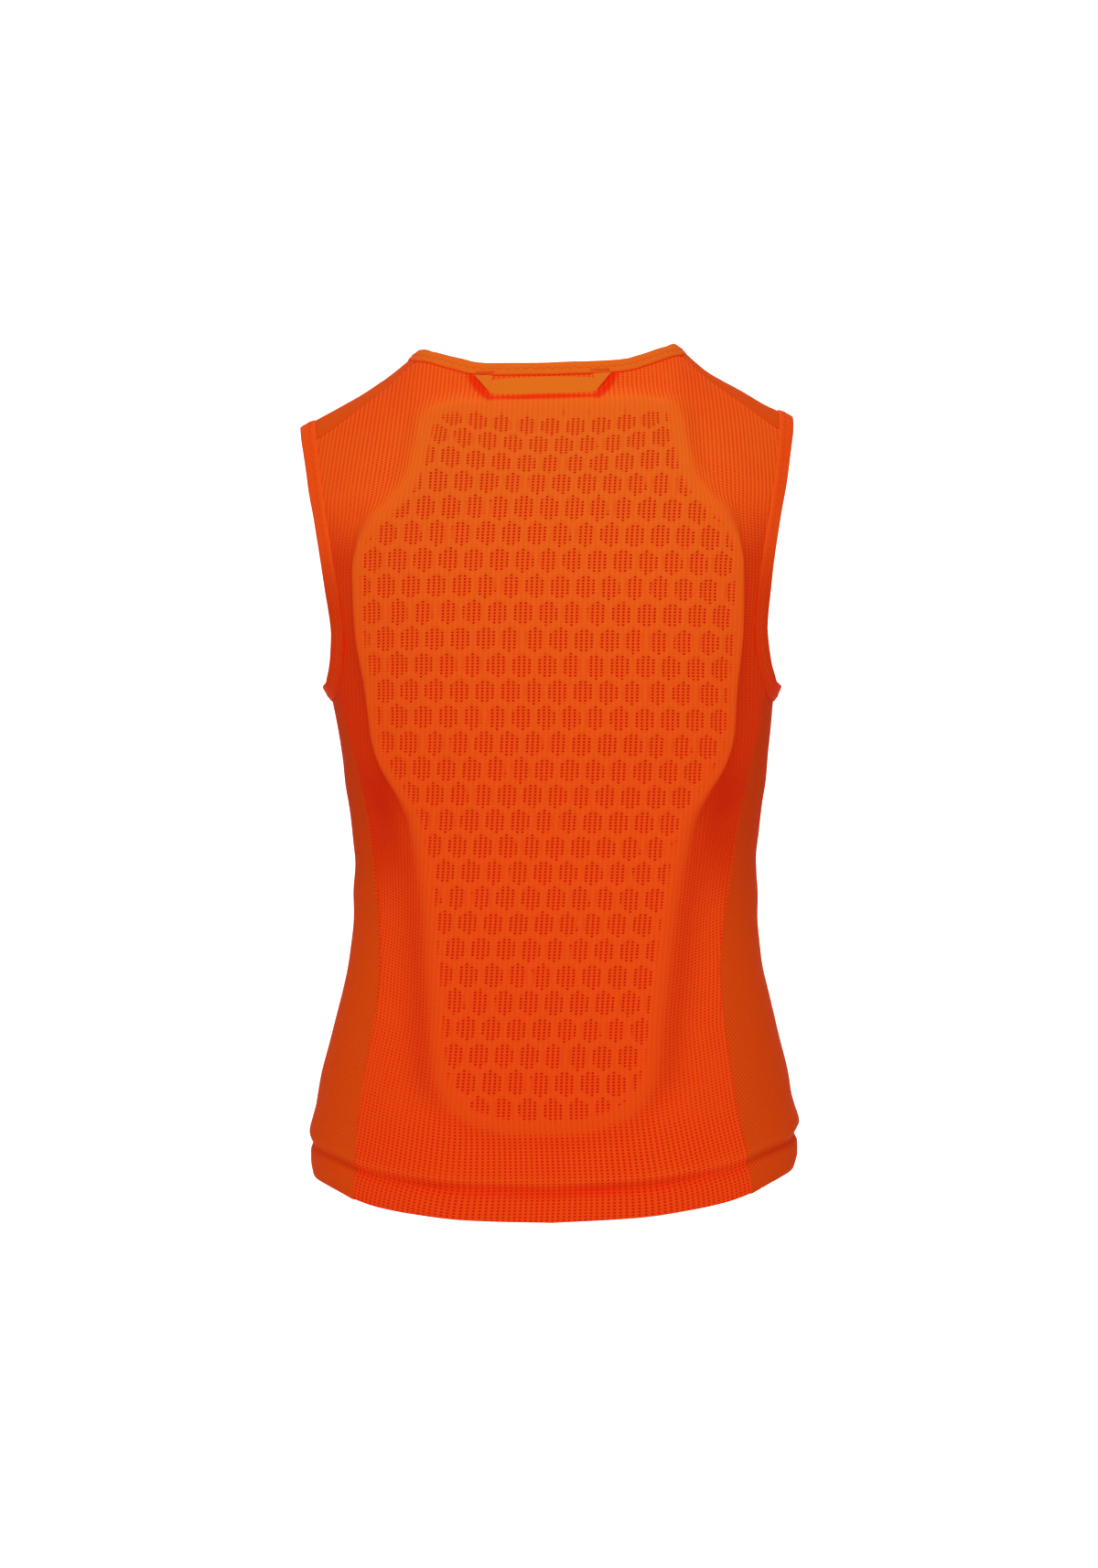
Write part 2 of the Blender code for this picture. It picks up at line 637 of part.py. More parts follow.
def front_panel(hand, name, collection, material):
    """Plain front from the zip to the side, between the neck, the yoke and the armhole."""
    zip_edge = ZIP_HALF_WIDTH + SEAM_GAP / 2
    edge = neck_seam(FRONT)[:-1] + yoke_seam(FRONT)[:-1] + armhole_seam(FRONT)[:-1]
    edge += side_seam(FRONT)
    edge[0] = Vector((zip_edge, edge[0].y))
    corner = edge[-1].x
    hem = []
    for i in range(1, FRONT_HEM_COLUMNS):
        x = corner + (zip_edge - corner) * i / FRONT_HEM_COLUMNS
        hem.append(Vector((x, hem_line(FRONT, x))))
    foot, top = hem_line(FRONT, zip_edge), edge[0].y
    middle = [Vector((zip_edge, foot + height)) for height in HEM_HEIGHTS]
    middle += [Vector((zip_edge, middle[-1].y + (top - middle[-1].y) * i / ZIP_EDGE_LEVELS))
               for i in range(1, ZIP_EDGE_LEVELS)]
    outline = inset(list(reversed(edge + hem + middle)), SEAM_GAP / 2)
    cloth = [p for p in lattice(outline) if above_hem(FRONT, p)]
    hem_points = hem_rows(FRONT, lambda z: zip_edge, lambda z: side_seam_x(FRONT, z),
                          FRONT_HEM_COLUMNS)
    fine, fine_faces = triangulate([outline], cloth + hem_points)
    plain, plain_faces = triangulate([outline], cloth)
    spots = [on_body(FRONT, p.x, p.y) for p in fine]
    outer = [mirrored((p + n * hem_lift(FRONT, p.x, p.z), n), hand)[0] for p, n in spots]
    spots = [on_body(FRONT, p.x, p.y) for p in plain]
    inner = [mirrored((p - n * CLOTH_WALL, n), hand)[0] for p, n in spots]
    points, faces = wall_between(outer, fine_faces, inner, plain_faces, len(outline))
    make_object(name, points, faces, collection, material["mesh"])


def side_panel(hand, name, collection, material):
    """Finer mesh from the armhole to the hem, round the flank between back and front seams."""
    gap = SEAM_GAP / 2

    def angle_at(share, z):
        ends = [flank_angle(side, side_seam_x(side, z) + gap, z) for side in (BACK, FRONT)]
        return ends[0] + (ends[1] - ends[0]) * share

    columns = []
    for i in range(FLANK_COLUMNS + 1):
        share = i / FLANK_COLUMNS
        foot = flank_point(angle_at(share, HEM_LEVEL), HEM_LEVEL)
        bottom = hem_line(BACK if foot.y < 0 else FRONT, foot.x)
        top = UNDERARM[1] - underarm_dip(share) - SEAM_GAP
        columns.append([mirrored(on_flank(angle_at(share, z), z), hand)
                        for z in levels_between(top, bottom)])
    rows = [list(row) for row in zip(*columns)]

    def lift(point):
        side = BACK if point.y < 0 else FRONT
        return hem_lift(side, point.x, point.z)

    points, faces = grid_wall(rows, lift, lambda point: -CLOTH_WALL)
    make_object(name, points, faces, collection, material["side"])


def yoke_spots(gap):
    """Spots over a yoke, in rows from its back seam to its front seam."""
    rows = []
    for j in range(YOKE_ROWS + 1):
        t = 2 * j / YOKE_ROWS - 1
        side = BACK if t < 0 else FRONT
        near, far = yoke_end(YOKE_NECK, t) + gap, yoke_end(YOKE_ARM, t) - gap
        row = []
        for i in range(YOKE_STEPS + 1):
            x = near + (far - near) * i / YOKE_STEPS
            reach = yoke_reach(side, x) - gap / section_depth(side, ridge(x))
            row.append(on_shoulder(x, t * reach))
        rows.append(row)
    return rows


def shoulder_yoke(hand, name, collection, material):
    rows = [[mirrored(spot, hand) for spot in row] for row in yoke_spots(SEAM_GAP / 2)]
    points, faces = grid_wall(rows, lambda p: 0.0, lambda p: -CLOTH_WALL)
    make_object(name, points, faces, collection, material["yoke"])


# ---- bindings ------------------------------------------------------------------------------
def binding_profile(width):
    """Cross-section of a folded elastic binding, from its seam to its free edge."""
    near = SEAM_GAP / 2
    return [(near, -2.1), (near, 0.5), (1.4, 0.9), (width * 0.55, 1.0), (width - 1.0, 0.7),
            (width, -0.5), (width - 1.0, -1.9), (width * 0.5, -2.3)]


def sideways_of(spots, closed, toward):
    """Directions across a seam, in the cloth, on the side that a rough direction points to."""
    result = []
    count = len(spots)
    for i, (point, normal) in enumerate(spots):
        before = spots[i - 1][0] if closed or i else point
        after = spots[(i + 1) % count][0] if closed or i < count - 1 else point
        across = (after - before).cross(normal).normalized()
        if across.dot(toward(point)) < 0:
            across = -across
        result.append(across)
    return result


def yoke_end_spots(ends):
    """Spots over the end of a yoke, from its back corner to its front corner, corners left out."""
    result = []
    for j in range(1, YOKE_ROWS):
        t = 2 * j / YOKE_ROWS - 1
        side = BACK if t < 0 else FRONT
        x = yoke_end(ends, t)
        result.append(on_shoulder(x, t * yoke_reach(side, x)))
    return result


def neck_binding(collection, material):
    """Elastic round the neck from one edge of the zip to the other."""
    half = [on_body(BACK, p.x, p.y) for p in neck_seam(BACK)]
    half += yoke_end_spots(YOKE_NECK)
    half += [on_body(FRONT, p.x, p.y) for p in reversed(neck_seam(FRONT))]
    left = [mirrored(spot, -1) for spot in reversed(half[1:])]
    spots = left + half
    sideways = sideways_of(spots, False, lambda p: Vector((-p.x, -p.y, 60)))
    for end in (0, -1):
        sideways[end] = Vector((0, sideways[end].y, sideways[end].z)).normalized()
    points, faces = sweep(spots, sideways, binding_profile(NECK_BINDING_WIDTH), False)
    make_object("neck_binding", points, faces, collection, material["binding"])


def armhole_spots():
    """The whole armhole, from the back corner of the yoke down, round and up the front."""
    spots = [on_body(BACK, p.x, p.y) for p in armhole_seam(BACK)]
    ends = [flank_angle(side, *UNDERARM) for side in (BACK, FRONT)]
    for i in range(1, FLANK_COLUMNS):
        share = i / FLANK_COLUMNS
        angle = ends[0] + (ends[1] - ends[0]) * share
        spots.append(on_flank(angle, UNDERARM[1] - underarm_dip(share)))
    spots += [on_body(FRONT, p.x, p.y) for p in reversed(armhole_seam(FRONT))]
    spots += list(reversed(yoke_end_spots(YOKE_ARM)))
    return spots


def armhole_binding(hand, name, collection, material):
    """Elastic round the armhole, that flares out a little under the arm."""
    spots = armhole_spots()
    sideways = sideways_of(spots, True, lambda p: Vector((p.x, -p.y, ARMHOLE_MIDDLE - p.z)))
    leaning = []
    for (point, normal), across in zip(spots, sideways):
        low = min(max((FLARE_START - point.z) / (FLARE_START - FLARE_FULL), 0.0), 1.0)
        lean = math.radians(FLARE) * low
        leaning.append(across * math.cos(lean) + normal * math.sin(lean))
    points, faces = sweep(spots, leaning, binding_profile(ARM_BINDING_WIDTH), True)
    points = [Vector((hand * p.x, p.y, p.z)) for p in points]
    make_object(name, points, faces, collection, material["binding"])


# ---- hanger loop ---------------------------------------------------------------------------
LOOP_THICKNESS = 1.3
LOOP_REST = 0.5           # clearance of its sewn ends over the cloth
LOOP_STAND = 3.2          # clearance of its middle
LOOP_LEFT, LOOP_RIGHT = -40.5, 29.5
LOOP_UPPER, LOOP_LOWER = -31.4, -43.2
LOOP_STEPS = 8
LOOP_SWELL = 0.76         # share of a half wave that the loop's bow away from the cloth follows
LOOP_FULLNESS = 0.7       # below 1 the bow is fuller towards its ends
LOOP_SAG = 0.8            # the lower edge's middle hangs this much below its ends


def hanger_loop(collection, material):
    """Flat tape whose mitred ends go up under the neck binding."""
    columns = [((LOOP_LEFT + 0.5, -27.4), (LOOP_LEFT - 12.0, -26.3), 0.0)]
    for i in range(LOOP_STEPS + 1):
        share = i / LOOP_STEPS
        x = LOOP_LEFT + (LOOP_RIGHT - LOOP_LEFT) * share
        stand = math.sin(math.pi * (0.5 + LOOP_SWELL * (share - 0.5))) ** LOOP_FULLNESS
        sag = LOOP_SAG * (2 * share - 1) ** 2
        columns.append(((x, LOOP_UPPER), (x, LOOP_LOWER + sag), stand))
    columns.append(((LOOP_RIGHT - 0.5, -27.6), (LOOP_RIGHT + 12.0, -26.9), 0.0))
    points, faces = [], []
    for upper, lower, stand in columns:
        lift = LOOP_REST + (LOOP_STAND - LOOP_REST) * stand
        for x, z in (upper, lower):
            point, normal = on_body(BACK, x, z)
            if lower[1] > LOOP_UPPER:
                lift = LOOP_REST
            points += [point + normal * lift, point + normal * (lift + LOOP_THICKNESS)]
    for k in range(len(columns) - 1):
        a, b = 4 * k, 4 * k + 4
        for i, j in ((0, 1), (1, 3), (3, 2), (2, 0)):
            faces.append((a + i, a + j, b + j, b + i))
    last = 4 * (len(columns) - 1)
    faces += [(0, 2, 3, 1), (last, last + 1, last + 3, last + 2)]
    make_object("hanger_loop", points, faces, collection, material["tape"])


# ---- zip -----------------------------------------------------------------------------------
ZIP_TOP = -75.5
ZIP_FOOT = 1.0            # the tape ends this far above the front's hem
ZIP_STEPS = 30
COIL_HALF_WIDTH, COIL_HEIGHT = 1.5, 0.8
SLIDER_BELOW_TOP = 11.0
SLIDER_LENGTH, SLIDER_WIDTH, SLIDER_PLATE, SLIDER_CHAMFER = 11.0, 8.0, 1.4, 0.6
BAIL_WIDTH, BAIL_LENGTH, BAIL_HEIGHT, BAIL_WALL, BAIL_CHAMFER = 1.8, 6.4, 4.0, 1.2, 1.0
BAIL_ROOT = 0.4           # depth to which the bail sinks into the plate
PULL_WIDTH, PULL_LENGTH, PULL_THICKNESS = 6.4, 24.0, 1.3
PULL_BAR = 1.4            # the cross bar that turns in the bail
PULL_BAR_TURN = 0.71      # a square bar's half diagonal as a share of its side
PULL_TIP, PULL_TIP_WIDTH, PULL_TIP_ROUND = 4.0, 0.6, 0.8   # length, share of the width, rounding
PULL_EYE_ROUND = 0.6
PULL_EYE = 4.2            # length of the hole behind the bar, to clear the turned-back bail
PULL_RAIL = 1.4


def zip_tape(collection, material):
    """The closed zip: a strip between the fronts with its coil raised along the middle."""
    bottom = hem_line(FRONT, 0) + ZIP_FOOT
    spots = [on_body(FRONT, 0.0, ZIP_TOP + (bottom - ZIP_TOP) * i / ZIP_STEPS)
             for i in range(ZIP_STEPS + 1)]
    wide, coil = ZIP_HALF_WIDTH, COIL_HALF_WIDTH
    profile = [(-wide, -1.7), (-wide, -0.2), (-coil, -0.2), (-coil * 0.7, COIL_HEIGHT),
               (coil * 0.7, COIL_HEIGHT), (coil, -0.2), (wide, -0.2), (wide, -1.7)]
    points, faces = sweep(spots, [Vector((1, 0, 0))] * len(spots), profile, False)
    make_object("zip_tape", points, faces, collection, material["coil"])


def zip_frame():
    """Local axes at the slider: across, down the zip, and out, from its middle on the coil."""
    point, out = on_body(FRONT, 0.0, ZIP_TOP - SLIDER_BELOW_TOP)
    across = Vector((1, 0, 0))
    down = across.cross(out).normalized()
    if down.z > 0:
        down = -down
    return point + out * (COIL_HEIGHT + SEAM_GAP), across, down, out


def extrude_profile(outline, half_width, frame, start):
    """A closed prism across the zip, from an outline of (down, out) pairs."""
    origin, across, down, out = frame
    points = []
    for side in (-half_width, half_width):
        points += [origin + across * side + down * d + out * o for d, o in outline]
    count = len(outline)
    faces = [tuple(start + i for i in range(count)),
             tuple(start + count + i for i in reversed(range(count)))]
    for i in range(count):
        j = (i + 1) % count
        faces.append((start + j, start + i, start + count + i, start + count + j))
    return points, faces


def zip_slider(collection, material, cutters):
    """A plate over the coil with an upright bail, joined to one body."""
    frame = zip_frame()
    half = SLIDER_LENGTH / 2
    flat = half - SLIDER_CHAMFER
    plate = [(-half, 0.0), (-flat, SLIDER_PLATE), (flat, SLIDER_PLATE), (half, 0.0)]
    points, faces = extrude_profile(plate, SLIDER_WIDTH / 2, frame, 0)
    slider = make_object("zip_slider", points, faces, collection, material["metal"])
    foot, top = SLIDER_PLATE - BAIL_ROOT, SLIDER_PLATE + BAIL_HEIGHT
    reach, wall, cut = BAIL_LENGTH / 2, BAIL_WALL, BAIL_CHAMFER
    arch = [(-reach, foot), (-reach, top - cut), (-reach + cut, top), (reach - cut, top),
            (reach, top - cut), (reach, foot), (reach - wall, foot), (reach - wall, top - wall),
            (wall - reach, top - wall), (wall - reach, foot)]
    points, faces = extrude_profile(arch, BAIL_WIDTH / 2, frame, 0)
    bail = make_object("zip_bail", points, faces, cutters, material["metal"])
    bail.hide_render = True
    bail.display_type = 'WIRE'
    join = slider.modifiers.new("bail", 'BOOLEAN')
    join.operation = 'UNION'
    join.object = bail
    return slider


def pull_axis():
    """Middle of the cross bar, inside the bail at its lower end."""
    origin, across, down, out = zip_frame()
    at_down = BAIL_LENGTH / 2 - BAIL_WALL - SEAM_GAP - PULL_BAR * PULL_BAR_TURN
    at_out = SLIDER_PLATE + (BAIL_HEIGHT - BAIL_WALL) / 2
    return origin + down * at_down + out * at_out, across, down, out


def zip_pull(collection, material):
    """A flat tab with an eye: its cross bar runs through the bail, its rails pass beside it."""
    pivot, across, down, out = pull_axis()
    bar, thick, rail = PULL_BAR / 2, PULL_THICKNESS / 2, PULL_RAIL
    half, length = PULL_WIDTH / 2, PULL_LENGTH
    eye = bar + PULL_EYE
    tip, tip_half, tip_end = length - PULL_TIP, half * PULL_TIP_WIDTH, length - PULL_TIP_ROUND
    outer = [(-half, -bar), (half, -bar), (half, eye), (half, tip), (tip_half, tip_end),
             (0, length), (-tip_half, tip_end), (-half, tip), (-half, eye)]
    hole = [(-half + rail, bar), (half - rail, bar), (half - rail, eye - PULL_EYE_ROUND),
            (0, eye), (-half + rail, eye - PULL_EYE_ROUND)]
    loops = [[Vector(p) for p in outer], [Vector(p) for p in hole]]
    flat, faces = triangulate(loops, [])
    hole_loop = loops[1]
    faces = [f for f in faces
             if not inside(sum((flat[k] for k in f), Vector((0, 0))) / 3, hole_loop)]
    count = len(flat)
    points = [pivot + across * p.x + down * p.y + out * thick for p in flat]
    points += [pivot + across * p.x + down * p.y - out * thick for p in flat]
    body = [tuple(f) for f in faces] + [tuple(count + k for k in reversed(f)) for f in faces]
    start = 0
    for loop in loops:
        for i in range(len(loop)):
            a, b = start + i, start + (i + 1) % len(loop)
            body.append((b, a, count + a, count + b))
        start += len(loop)
    pull = make_object("zip_pull", points, body, collection, material["metal"])
    centre = place(pivot) * MM
    pull.data.transform(Matrix.Translation(-centre))
    pull.location = centre
    return pull


# ---- the vest ------------------------------------------------------------------------------
def make_materials():
    rough = {"metal": 0.45, "foam": 0.9}
    materials = {}
    for name, colour in COLOURS.items():
        material = bpy.data.materials.new(name)
        material.use_nodes = True
        shader = material.node_tree.nodes["Principled BSDF"]
        shader.inputs["Base Color"].default_value = (*colour, 1.0)
        shader.inputs["Roughness"].default_value = rough.get(name, 0.85)
        shader.inputs["Metallic"].default_value = 0.9 if name == "metal" else 0.0
        materials[name] = material
    return materials


def main():
    for obj in list(bpy.data.objects):
        bpy.data.objects.remove(obj, do_unlink=True)
    vest = bpy.data.collections.new("cycling_vest")
    cutters = bpy.data.collections.new("cutters")
    bpy.context.scene.collection.children.link(vest)
    bpy.context.scene.collection.children.link(cutters)
    material = make_materials()
    back_panel(vest, material)
    for hand, side in ((-1, "left"), (1, "right")):
        shoulder_yoke(hand, "shoulder_yoke_" + side, vest, material)
        side_panel(hand, "side_panel_" + side, vest, material)
        front_panel(hand, "front_" + side, vest, material)
        armhole_binding(hand, "armhole_binding_" + side, vest, material)
    neck_binding(vest, material)
    hanger_loop(vest, material)
    zip_tape(vest, material)
    zip_slider(vest, material, cutters)
    zip_pull(vest, material)


main()
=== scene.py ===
"""Looks of the sleeveless cycling vest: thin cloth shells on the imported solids' own form.

The form's sizes and tables are those of the part, in millimetres. They become metres in
make_piece(). Points are numpy arrays whose last axis is x, y, z.
"""
import math

import bpy
import bmesh
import numpy as np
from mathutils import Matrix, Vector


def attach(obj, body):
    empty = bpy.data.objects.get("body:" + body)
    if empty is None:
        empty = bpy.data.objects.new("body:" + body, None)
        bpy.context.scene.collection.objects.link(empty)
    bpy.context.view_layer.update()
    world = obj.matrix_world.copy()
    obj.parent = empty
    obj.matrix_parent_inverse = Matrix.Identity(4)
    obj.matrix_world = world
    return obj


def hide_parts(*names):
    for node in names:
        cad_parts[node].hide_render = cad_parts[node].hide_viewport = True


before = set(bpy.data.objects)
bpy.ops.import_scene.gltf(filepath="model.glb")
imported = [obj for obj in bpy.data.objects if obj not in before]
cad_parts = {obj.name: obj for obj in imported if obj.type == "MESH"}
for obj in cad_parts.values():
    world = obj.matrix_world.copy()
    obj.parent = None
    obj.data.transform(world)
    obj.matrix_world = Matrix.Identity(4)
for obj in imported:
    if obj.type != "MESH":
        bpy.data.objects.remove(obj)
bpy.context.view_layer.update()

MM = 0.001
BACK, FRONT = -1, 1
SIDE_NAME = {BACK: "back", FRONT: "front"}

# ---- the part's sizes ----
SEAM_GAP = 0.06           # between sewn pieces, too narrow for light to come through
CLOTH_WALL = 1.5          # thickness of the shown cloth
PAD_THICKNESS = 9.0
PAD_WALL = 2.2            # of the cloth over the protector
PAD_RISE = 8.0
PAD_RISE_LOW = 5.5
PAD_THINS_FROM, PAD_THINS_OVER = -380.0, 120.0
PAD_EDGE = 6.0
NECK_BINDING_WIDTH = 12.0
ARM_BINDING_WIDTH = 12.5
HEM_TURN = 21.0
FRONT_DROP = 11.0
HEM_LEVEL = -579.0
SHOULDER_TILT = 0.022
SHOULDER_TILT_FROM = -250.0
HEM_TILT = 0.015
HEM_TILT_FROM = -400.0
TILT_FADE = 150.0
ZIP_HALF_WIDTH = 3.2
SQUARENESS = {BACK: 2.5, FRONT: 2.3}
SHOULDER_ROUND = {BACK: 110.0, FRONT: 150.0}


class Table:
    """Rows in rising order of their first column, read with a smooth curve down each column."""

    def __init__(self, columns, rows):
        self.columns = columns.split()
        self.values = np.array(rows, float)

    def read(self, name, at):
        keys, column = self.values[:, 0], self.values[:, self.columns.index(name)]
        chord = np.diff(column) / np.diff(keys)
        before, after = np.append(chord[0], chord), np.append(chord, chord[-1])
        both = before * after
        slope = np.where(both > 0, 2 * both / np.where(both > 0, before + after, 1.0), 0.0)
        at = np.clip(at, keys[0], keys[-1])
        i = np.clip(np.searchsorted(keys, at, side="right") - 1, 0, len(keys) - 2)
        span = keys[i + 1] - keys[i]
        t = (at - keys[i]) / span
        return (column[i] * (1 + 2 * t) * (1 - t) ** 2 + slope[i] * span * t * (1 - t) ** 2
                + column[i + 1] * t * t * (3 - 2 * t) + slope[i + 1] * span * t * t * (t - 1))


SECTIONS = Table("z half back front centre turn", [
    (-620, 170.0, 108, 112, 3.0, -1.0),
    (-590, 170.5, 107, 112, 3.6, -1.5),
    (-555, 171.5, 106, 111, 4.0, -4.5),
    (-532, 168.0, 104, 109, 4.2, -6.5),
    (-506, 162.8, 101, 107, 4.4, -7.0),
    (-480, 156.6, 98, 105, 4.7, -7.0),
    (-454, 150.4, 96, 103, 5.0, -6.8),
    (-428, 145.4, 94, 102, 5.1, -6.5),
    (-402, 142.8, 93, 102, 5.2, -5.8),
    (-376, 142.3, 93, 103, 5.2, -5.0),
    (-350, 143.6, 94, 105, 5.1, -4.3),
    (-324, 146.2, 96, 108, 5.0, -3.6),
    (-298, 149.7, 99, 112, 4.6, -2.9),
    (-272, 153.2, 102, 115, 4.0, -2.2),
    (-246, 157.0, 104, 117, 2.6, -1.5),
    (-207, 165.0, 107, 117, 0.6, -0.5),
    (-181, 171.0, 108, 114, -0.6, 0.3),
    (-155, 175.5, 108, 109, -1.6, 1.1),
    (-129, 178.3, 107, 103, -2.0, 1.9),
    (-103, 181.0, 105, 96, -2.1, 2.7),
    (-77, 182.5, 102, 89, -2.0, 3.4),
    (-50, 184.0, 98, 82, -1.9, 4.0),
    (20, 184.0, 90, 72, -1.3, 4.0),
])
RIDGE = Table("x z", [
    (0, 14.0), (30, 12.5), (50, 9.5), (65, 7.0), (78, 4.2), (90, -0.2), (97.5, -6.1),
    (105, -12.6), (113, -18.7), (121, -23.6), (136, -32.6), (152, -41.8), (164, -47.6),
    (180, -56.0),
])
NECK = {
    BACK: [(0, -26.6), (40, -25.6), (57, -23.4), (66, -20.3), (76, -16.6), (87, -12.2)],
    FRONT: [(3.5, -84.0), (30, -80.5), (55, -68.0), (75, -49.0), (88, -30.0)],
}
YOKE_NECK = {"ridge": 98.8, BACK: 93.5, FRONT: 94.5}
YOKE_ARM = {"ridge": 164.0, BACK: 162.3, FRONT: 161.5}
YOKE_REACH = {BACK: (22.0, 32.8), FRONT: (25.0, 34.0)}
ARMHOLE = {
    BACK: [(158.5, -93), (154.0, -121), (149.5, -147), (144.3, -185), (143.2, -210),
           (145.5, -230)],
    FRONT: [(156.0, -93), (149.0, -121), (143.5, -147), (139.5, -185), (140.5, -210),
            (144.5, -230)],
}
UNDERARM = (149.5, -244.0)
UNDERARM_DIP = 7.0
ARMHOLE_MIDDLE = -150.0
FLARE, FLARE_START, FLARE_FULL = 20.0, -205.0, -250.0
SIDE_SEAM = Table("z back front", [
    (-600, 138.0, 150.0), (-545, 131.8, 144.0), (-505, 126.0, 138.0), (-470, 120.5, 133.0),
    (-440, 118.3, 130.5), (-412, 119.5, 130.0), (-375, 124.0, 131.0), (-345, 127.5, 134.0),
    (-300, 136.0, 140.0), (-272, 143.5, 146.0), (-244, 149.5, 149.5),
])
TAIL = Table("share drop", [
    (0, 29.5), (0.35, 27.3), (0.55, 23.6), (0.7, 19.5), (0.79, 15.4), (0.85, 11.4),
    (0.89, 8.8), (0.94, 5.9), (0.98, 3.6), (1, 0.0),
])
HEM_PROFILE = Table("height lift", [
    (0, 0.0), (6, 1.3), (14, 1.0), (HEM_TURN, -1.6), (27.5, 2.2), (38, 1.0), (50, 0.0),
])
PAD_OUTLINE = Table("z half", [
    (-548, 26.0), (-540, 52.0), (-529, 65.5), (-513, 74.0), (-490, 77.5), (-470, 79.0),
    (-432, 82.0), (-393, 85.5), (-355, 91.5), (-335, 96.5), (-316, 107.0), (-296, 118.5),
    (-277, 124.0), (-247, 127.0), (-200, 133.0), (-161, 134.0), (-142, 131.0), (-126, 121.5),
    (-115, 109.0), (-100, 97.5), (-80, 91.5), (-57, 86.5), (-50, 79.0), (-47, 62.0),
])
WELL_GRID = Table("z middle pitch", [
    (-540, -2.6, 16.8), (-430, -3.0, 16.75), (-370, -4.1, 16.55), (-316, -4.3, 16.45),
    (-270, -3.6, 16.45), (-229, -2.2, 16.55), (-193, -0.9, 16.6), (-158, -0.2, 16.6),
    (-57, -0.5, 16.65),
])
WELL_PITCH_X = 16.6       # of the grid on the whole
WELL_PITCH_Z = 17.7
WELL_FIRST_Z = -104.6
WELL_LOW_ROW = 18
WELL_LOW_EXTRA = 0.5
WELL_FALL = 0.014
WELL_WIDTH = 12.2
WELL_HEIGHT = 17.0
WELL_DEPTH = 1.5
TOP_ROWS = [(-58.5, -69.0), (-71.0, -80.4), (-86.5, -93.3)]
TOP_ROW_REACH = 85.0
TOP_ROW_RISE = 13.5
PAD_FOOT, PAD_TOP = -548.0, -47.0
HEM_ZONE = 52.0           # height of the turned hem, with its creases
FAR = 50.0                # a distance that stands for out of reach

# ---- sizes of what is added here ----
KNIT_STEP = (3.46, 2.13)         # of the back's pinholes where the cloth is flat, across and up
KNIT_LEAN = 0.045                # of its files from upright
HOLE_SIZE = (0.50, 1.02)         # where a pinhole's edge starts and ends, from its middle
# rows: height of one row of pinholes. share: of KNIT_STEP between the files, at the sides.
KNIT = Table("z rows share", [
    (-620, 2.22, 1.09), (-560, 2.22, 1.04), (-500, 2.14, 1.00), (-440, 2.12, 0.95),
    (-400, 2.12, 0.93), (-330, 2.13, 0.99), (-250, 2.13, 1.05), (-180, 2.12, 0.98),
    (-120, 2.09, 0.92), (-85, 1.78, 0.87), (-60, 1.62, 0.84), (-15, 1.50, 0.82),
])
FINE_PITCH = (2.2, 1.9)          # of the side panels' pinholes
STITCH_LENGTH = 3.15             # half a zigzag along the binding
STITCH_WIDTH = 2.0
STITCH_LIFT = 1.12               # of the sewing's middle over the seam
NECK_STITCH, ARM_STITCH = 5.2, 4.4      # of the sewing, from the binding's seam
THREAD = 0.22                    # radius of the sewing thread
PHOTO_SIZE = (1200, 1714)
PIXEL = 0.65 * MM                # of the photograph, at the vest's middle depth
EYE = Vector((0.0, -2.6, -0.3094))
# Heights on the back where a look begins and is full, and where it starts to end and is gone.
CRISP_PAD_EDGE = (-385, -330, -150, -110)
FLANK_SHADE = (-410, -345, -160, -105)
PAD_SIDE_SHADE = (-545, -500, -330, -280)
LIT_SLOPE = (-165, -115)
LIT_SHOULDERS = (-230, -120)
UPRIGHT_FILES = (-175, -105)
ABOVE_FOOT = (-485, -425)
ABOVE_HEM = (-560, -480)
OPEN_HEM = (-560, -530)
ARMHOLE_SEAM_SHOWS = (-186, -212)


# ---- the form ----
def xyz(x, y, z):
    return np.stack(np.broadcast_arrays(x, y, z), axis=-1)


def unit(v):
    return v / np.maximum(np.linalg.norm(v, axis=-1, keepdims=True), 1e-12)


def smooth(value, low, high):
    """0 below low and 1 above high, with a soft step between them."""
    t = np.clip((value - low) / (high - low), 0.0, 1.0)
    return t * t * (3 - 2 * t)


def band(value, low, risen, falling, high):
    """1 from risen to falling, and 0 below low and above high."""
    return smooth(value, low, risen) * (1 - smooth(value, falling, high))


def bell(value, width):
    return np.exp(-(value / width) ** 2)


def ridge(x):
    return RIDGE.read("z", np.abs(x))


def section_depth(side, z):
    return SECTIONS.read(SIDE_NAME[side], z)


def fullness(side, x, z):
    power = SQUARENESS[side]
    share = np.minimum(np.abs(x) / SECTIONS.read("half", z), 0.9999)
    return (1 - share ** power) ** (1 / power)


def depth_at(side, x, z):
    fall = np.clip((ridge(x) - z) / SHOULDER_ROUND[side], 0.0, 1.0)
    rounding = np.sqrt(1 - (1 - fall) ** 2)
    return side * section_depth(side, z) * fullness(side, x, z) * rounding


def surface(point, u, v, du, dv):
    """Points of a form and their normals, from its formula and a small step each way."""
    along_u = point(u + du, v) - point(u - du, v)
    along_v = point(u, v + dv) - point(u, v - dv)
    return point(u, v), unit(np.cross(along_u, along_v))


def on_body(side, x, z):
    """Points of the form and their outward normals, by their place seen from back or front."""
    def point(x, z):
        return xyz(x, depth_at(side, x, z), z)

    spots, normals = surface(point, x, z, 0.05, 0.05)
    return spots, normals * -side


def two_halves(half, angle):
    """The back's half where the angle is below 0, and the front's elsewhere."""
    return np.where((angle < 0)[..., None], half(BACK), half(FRONT))


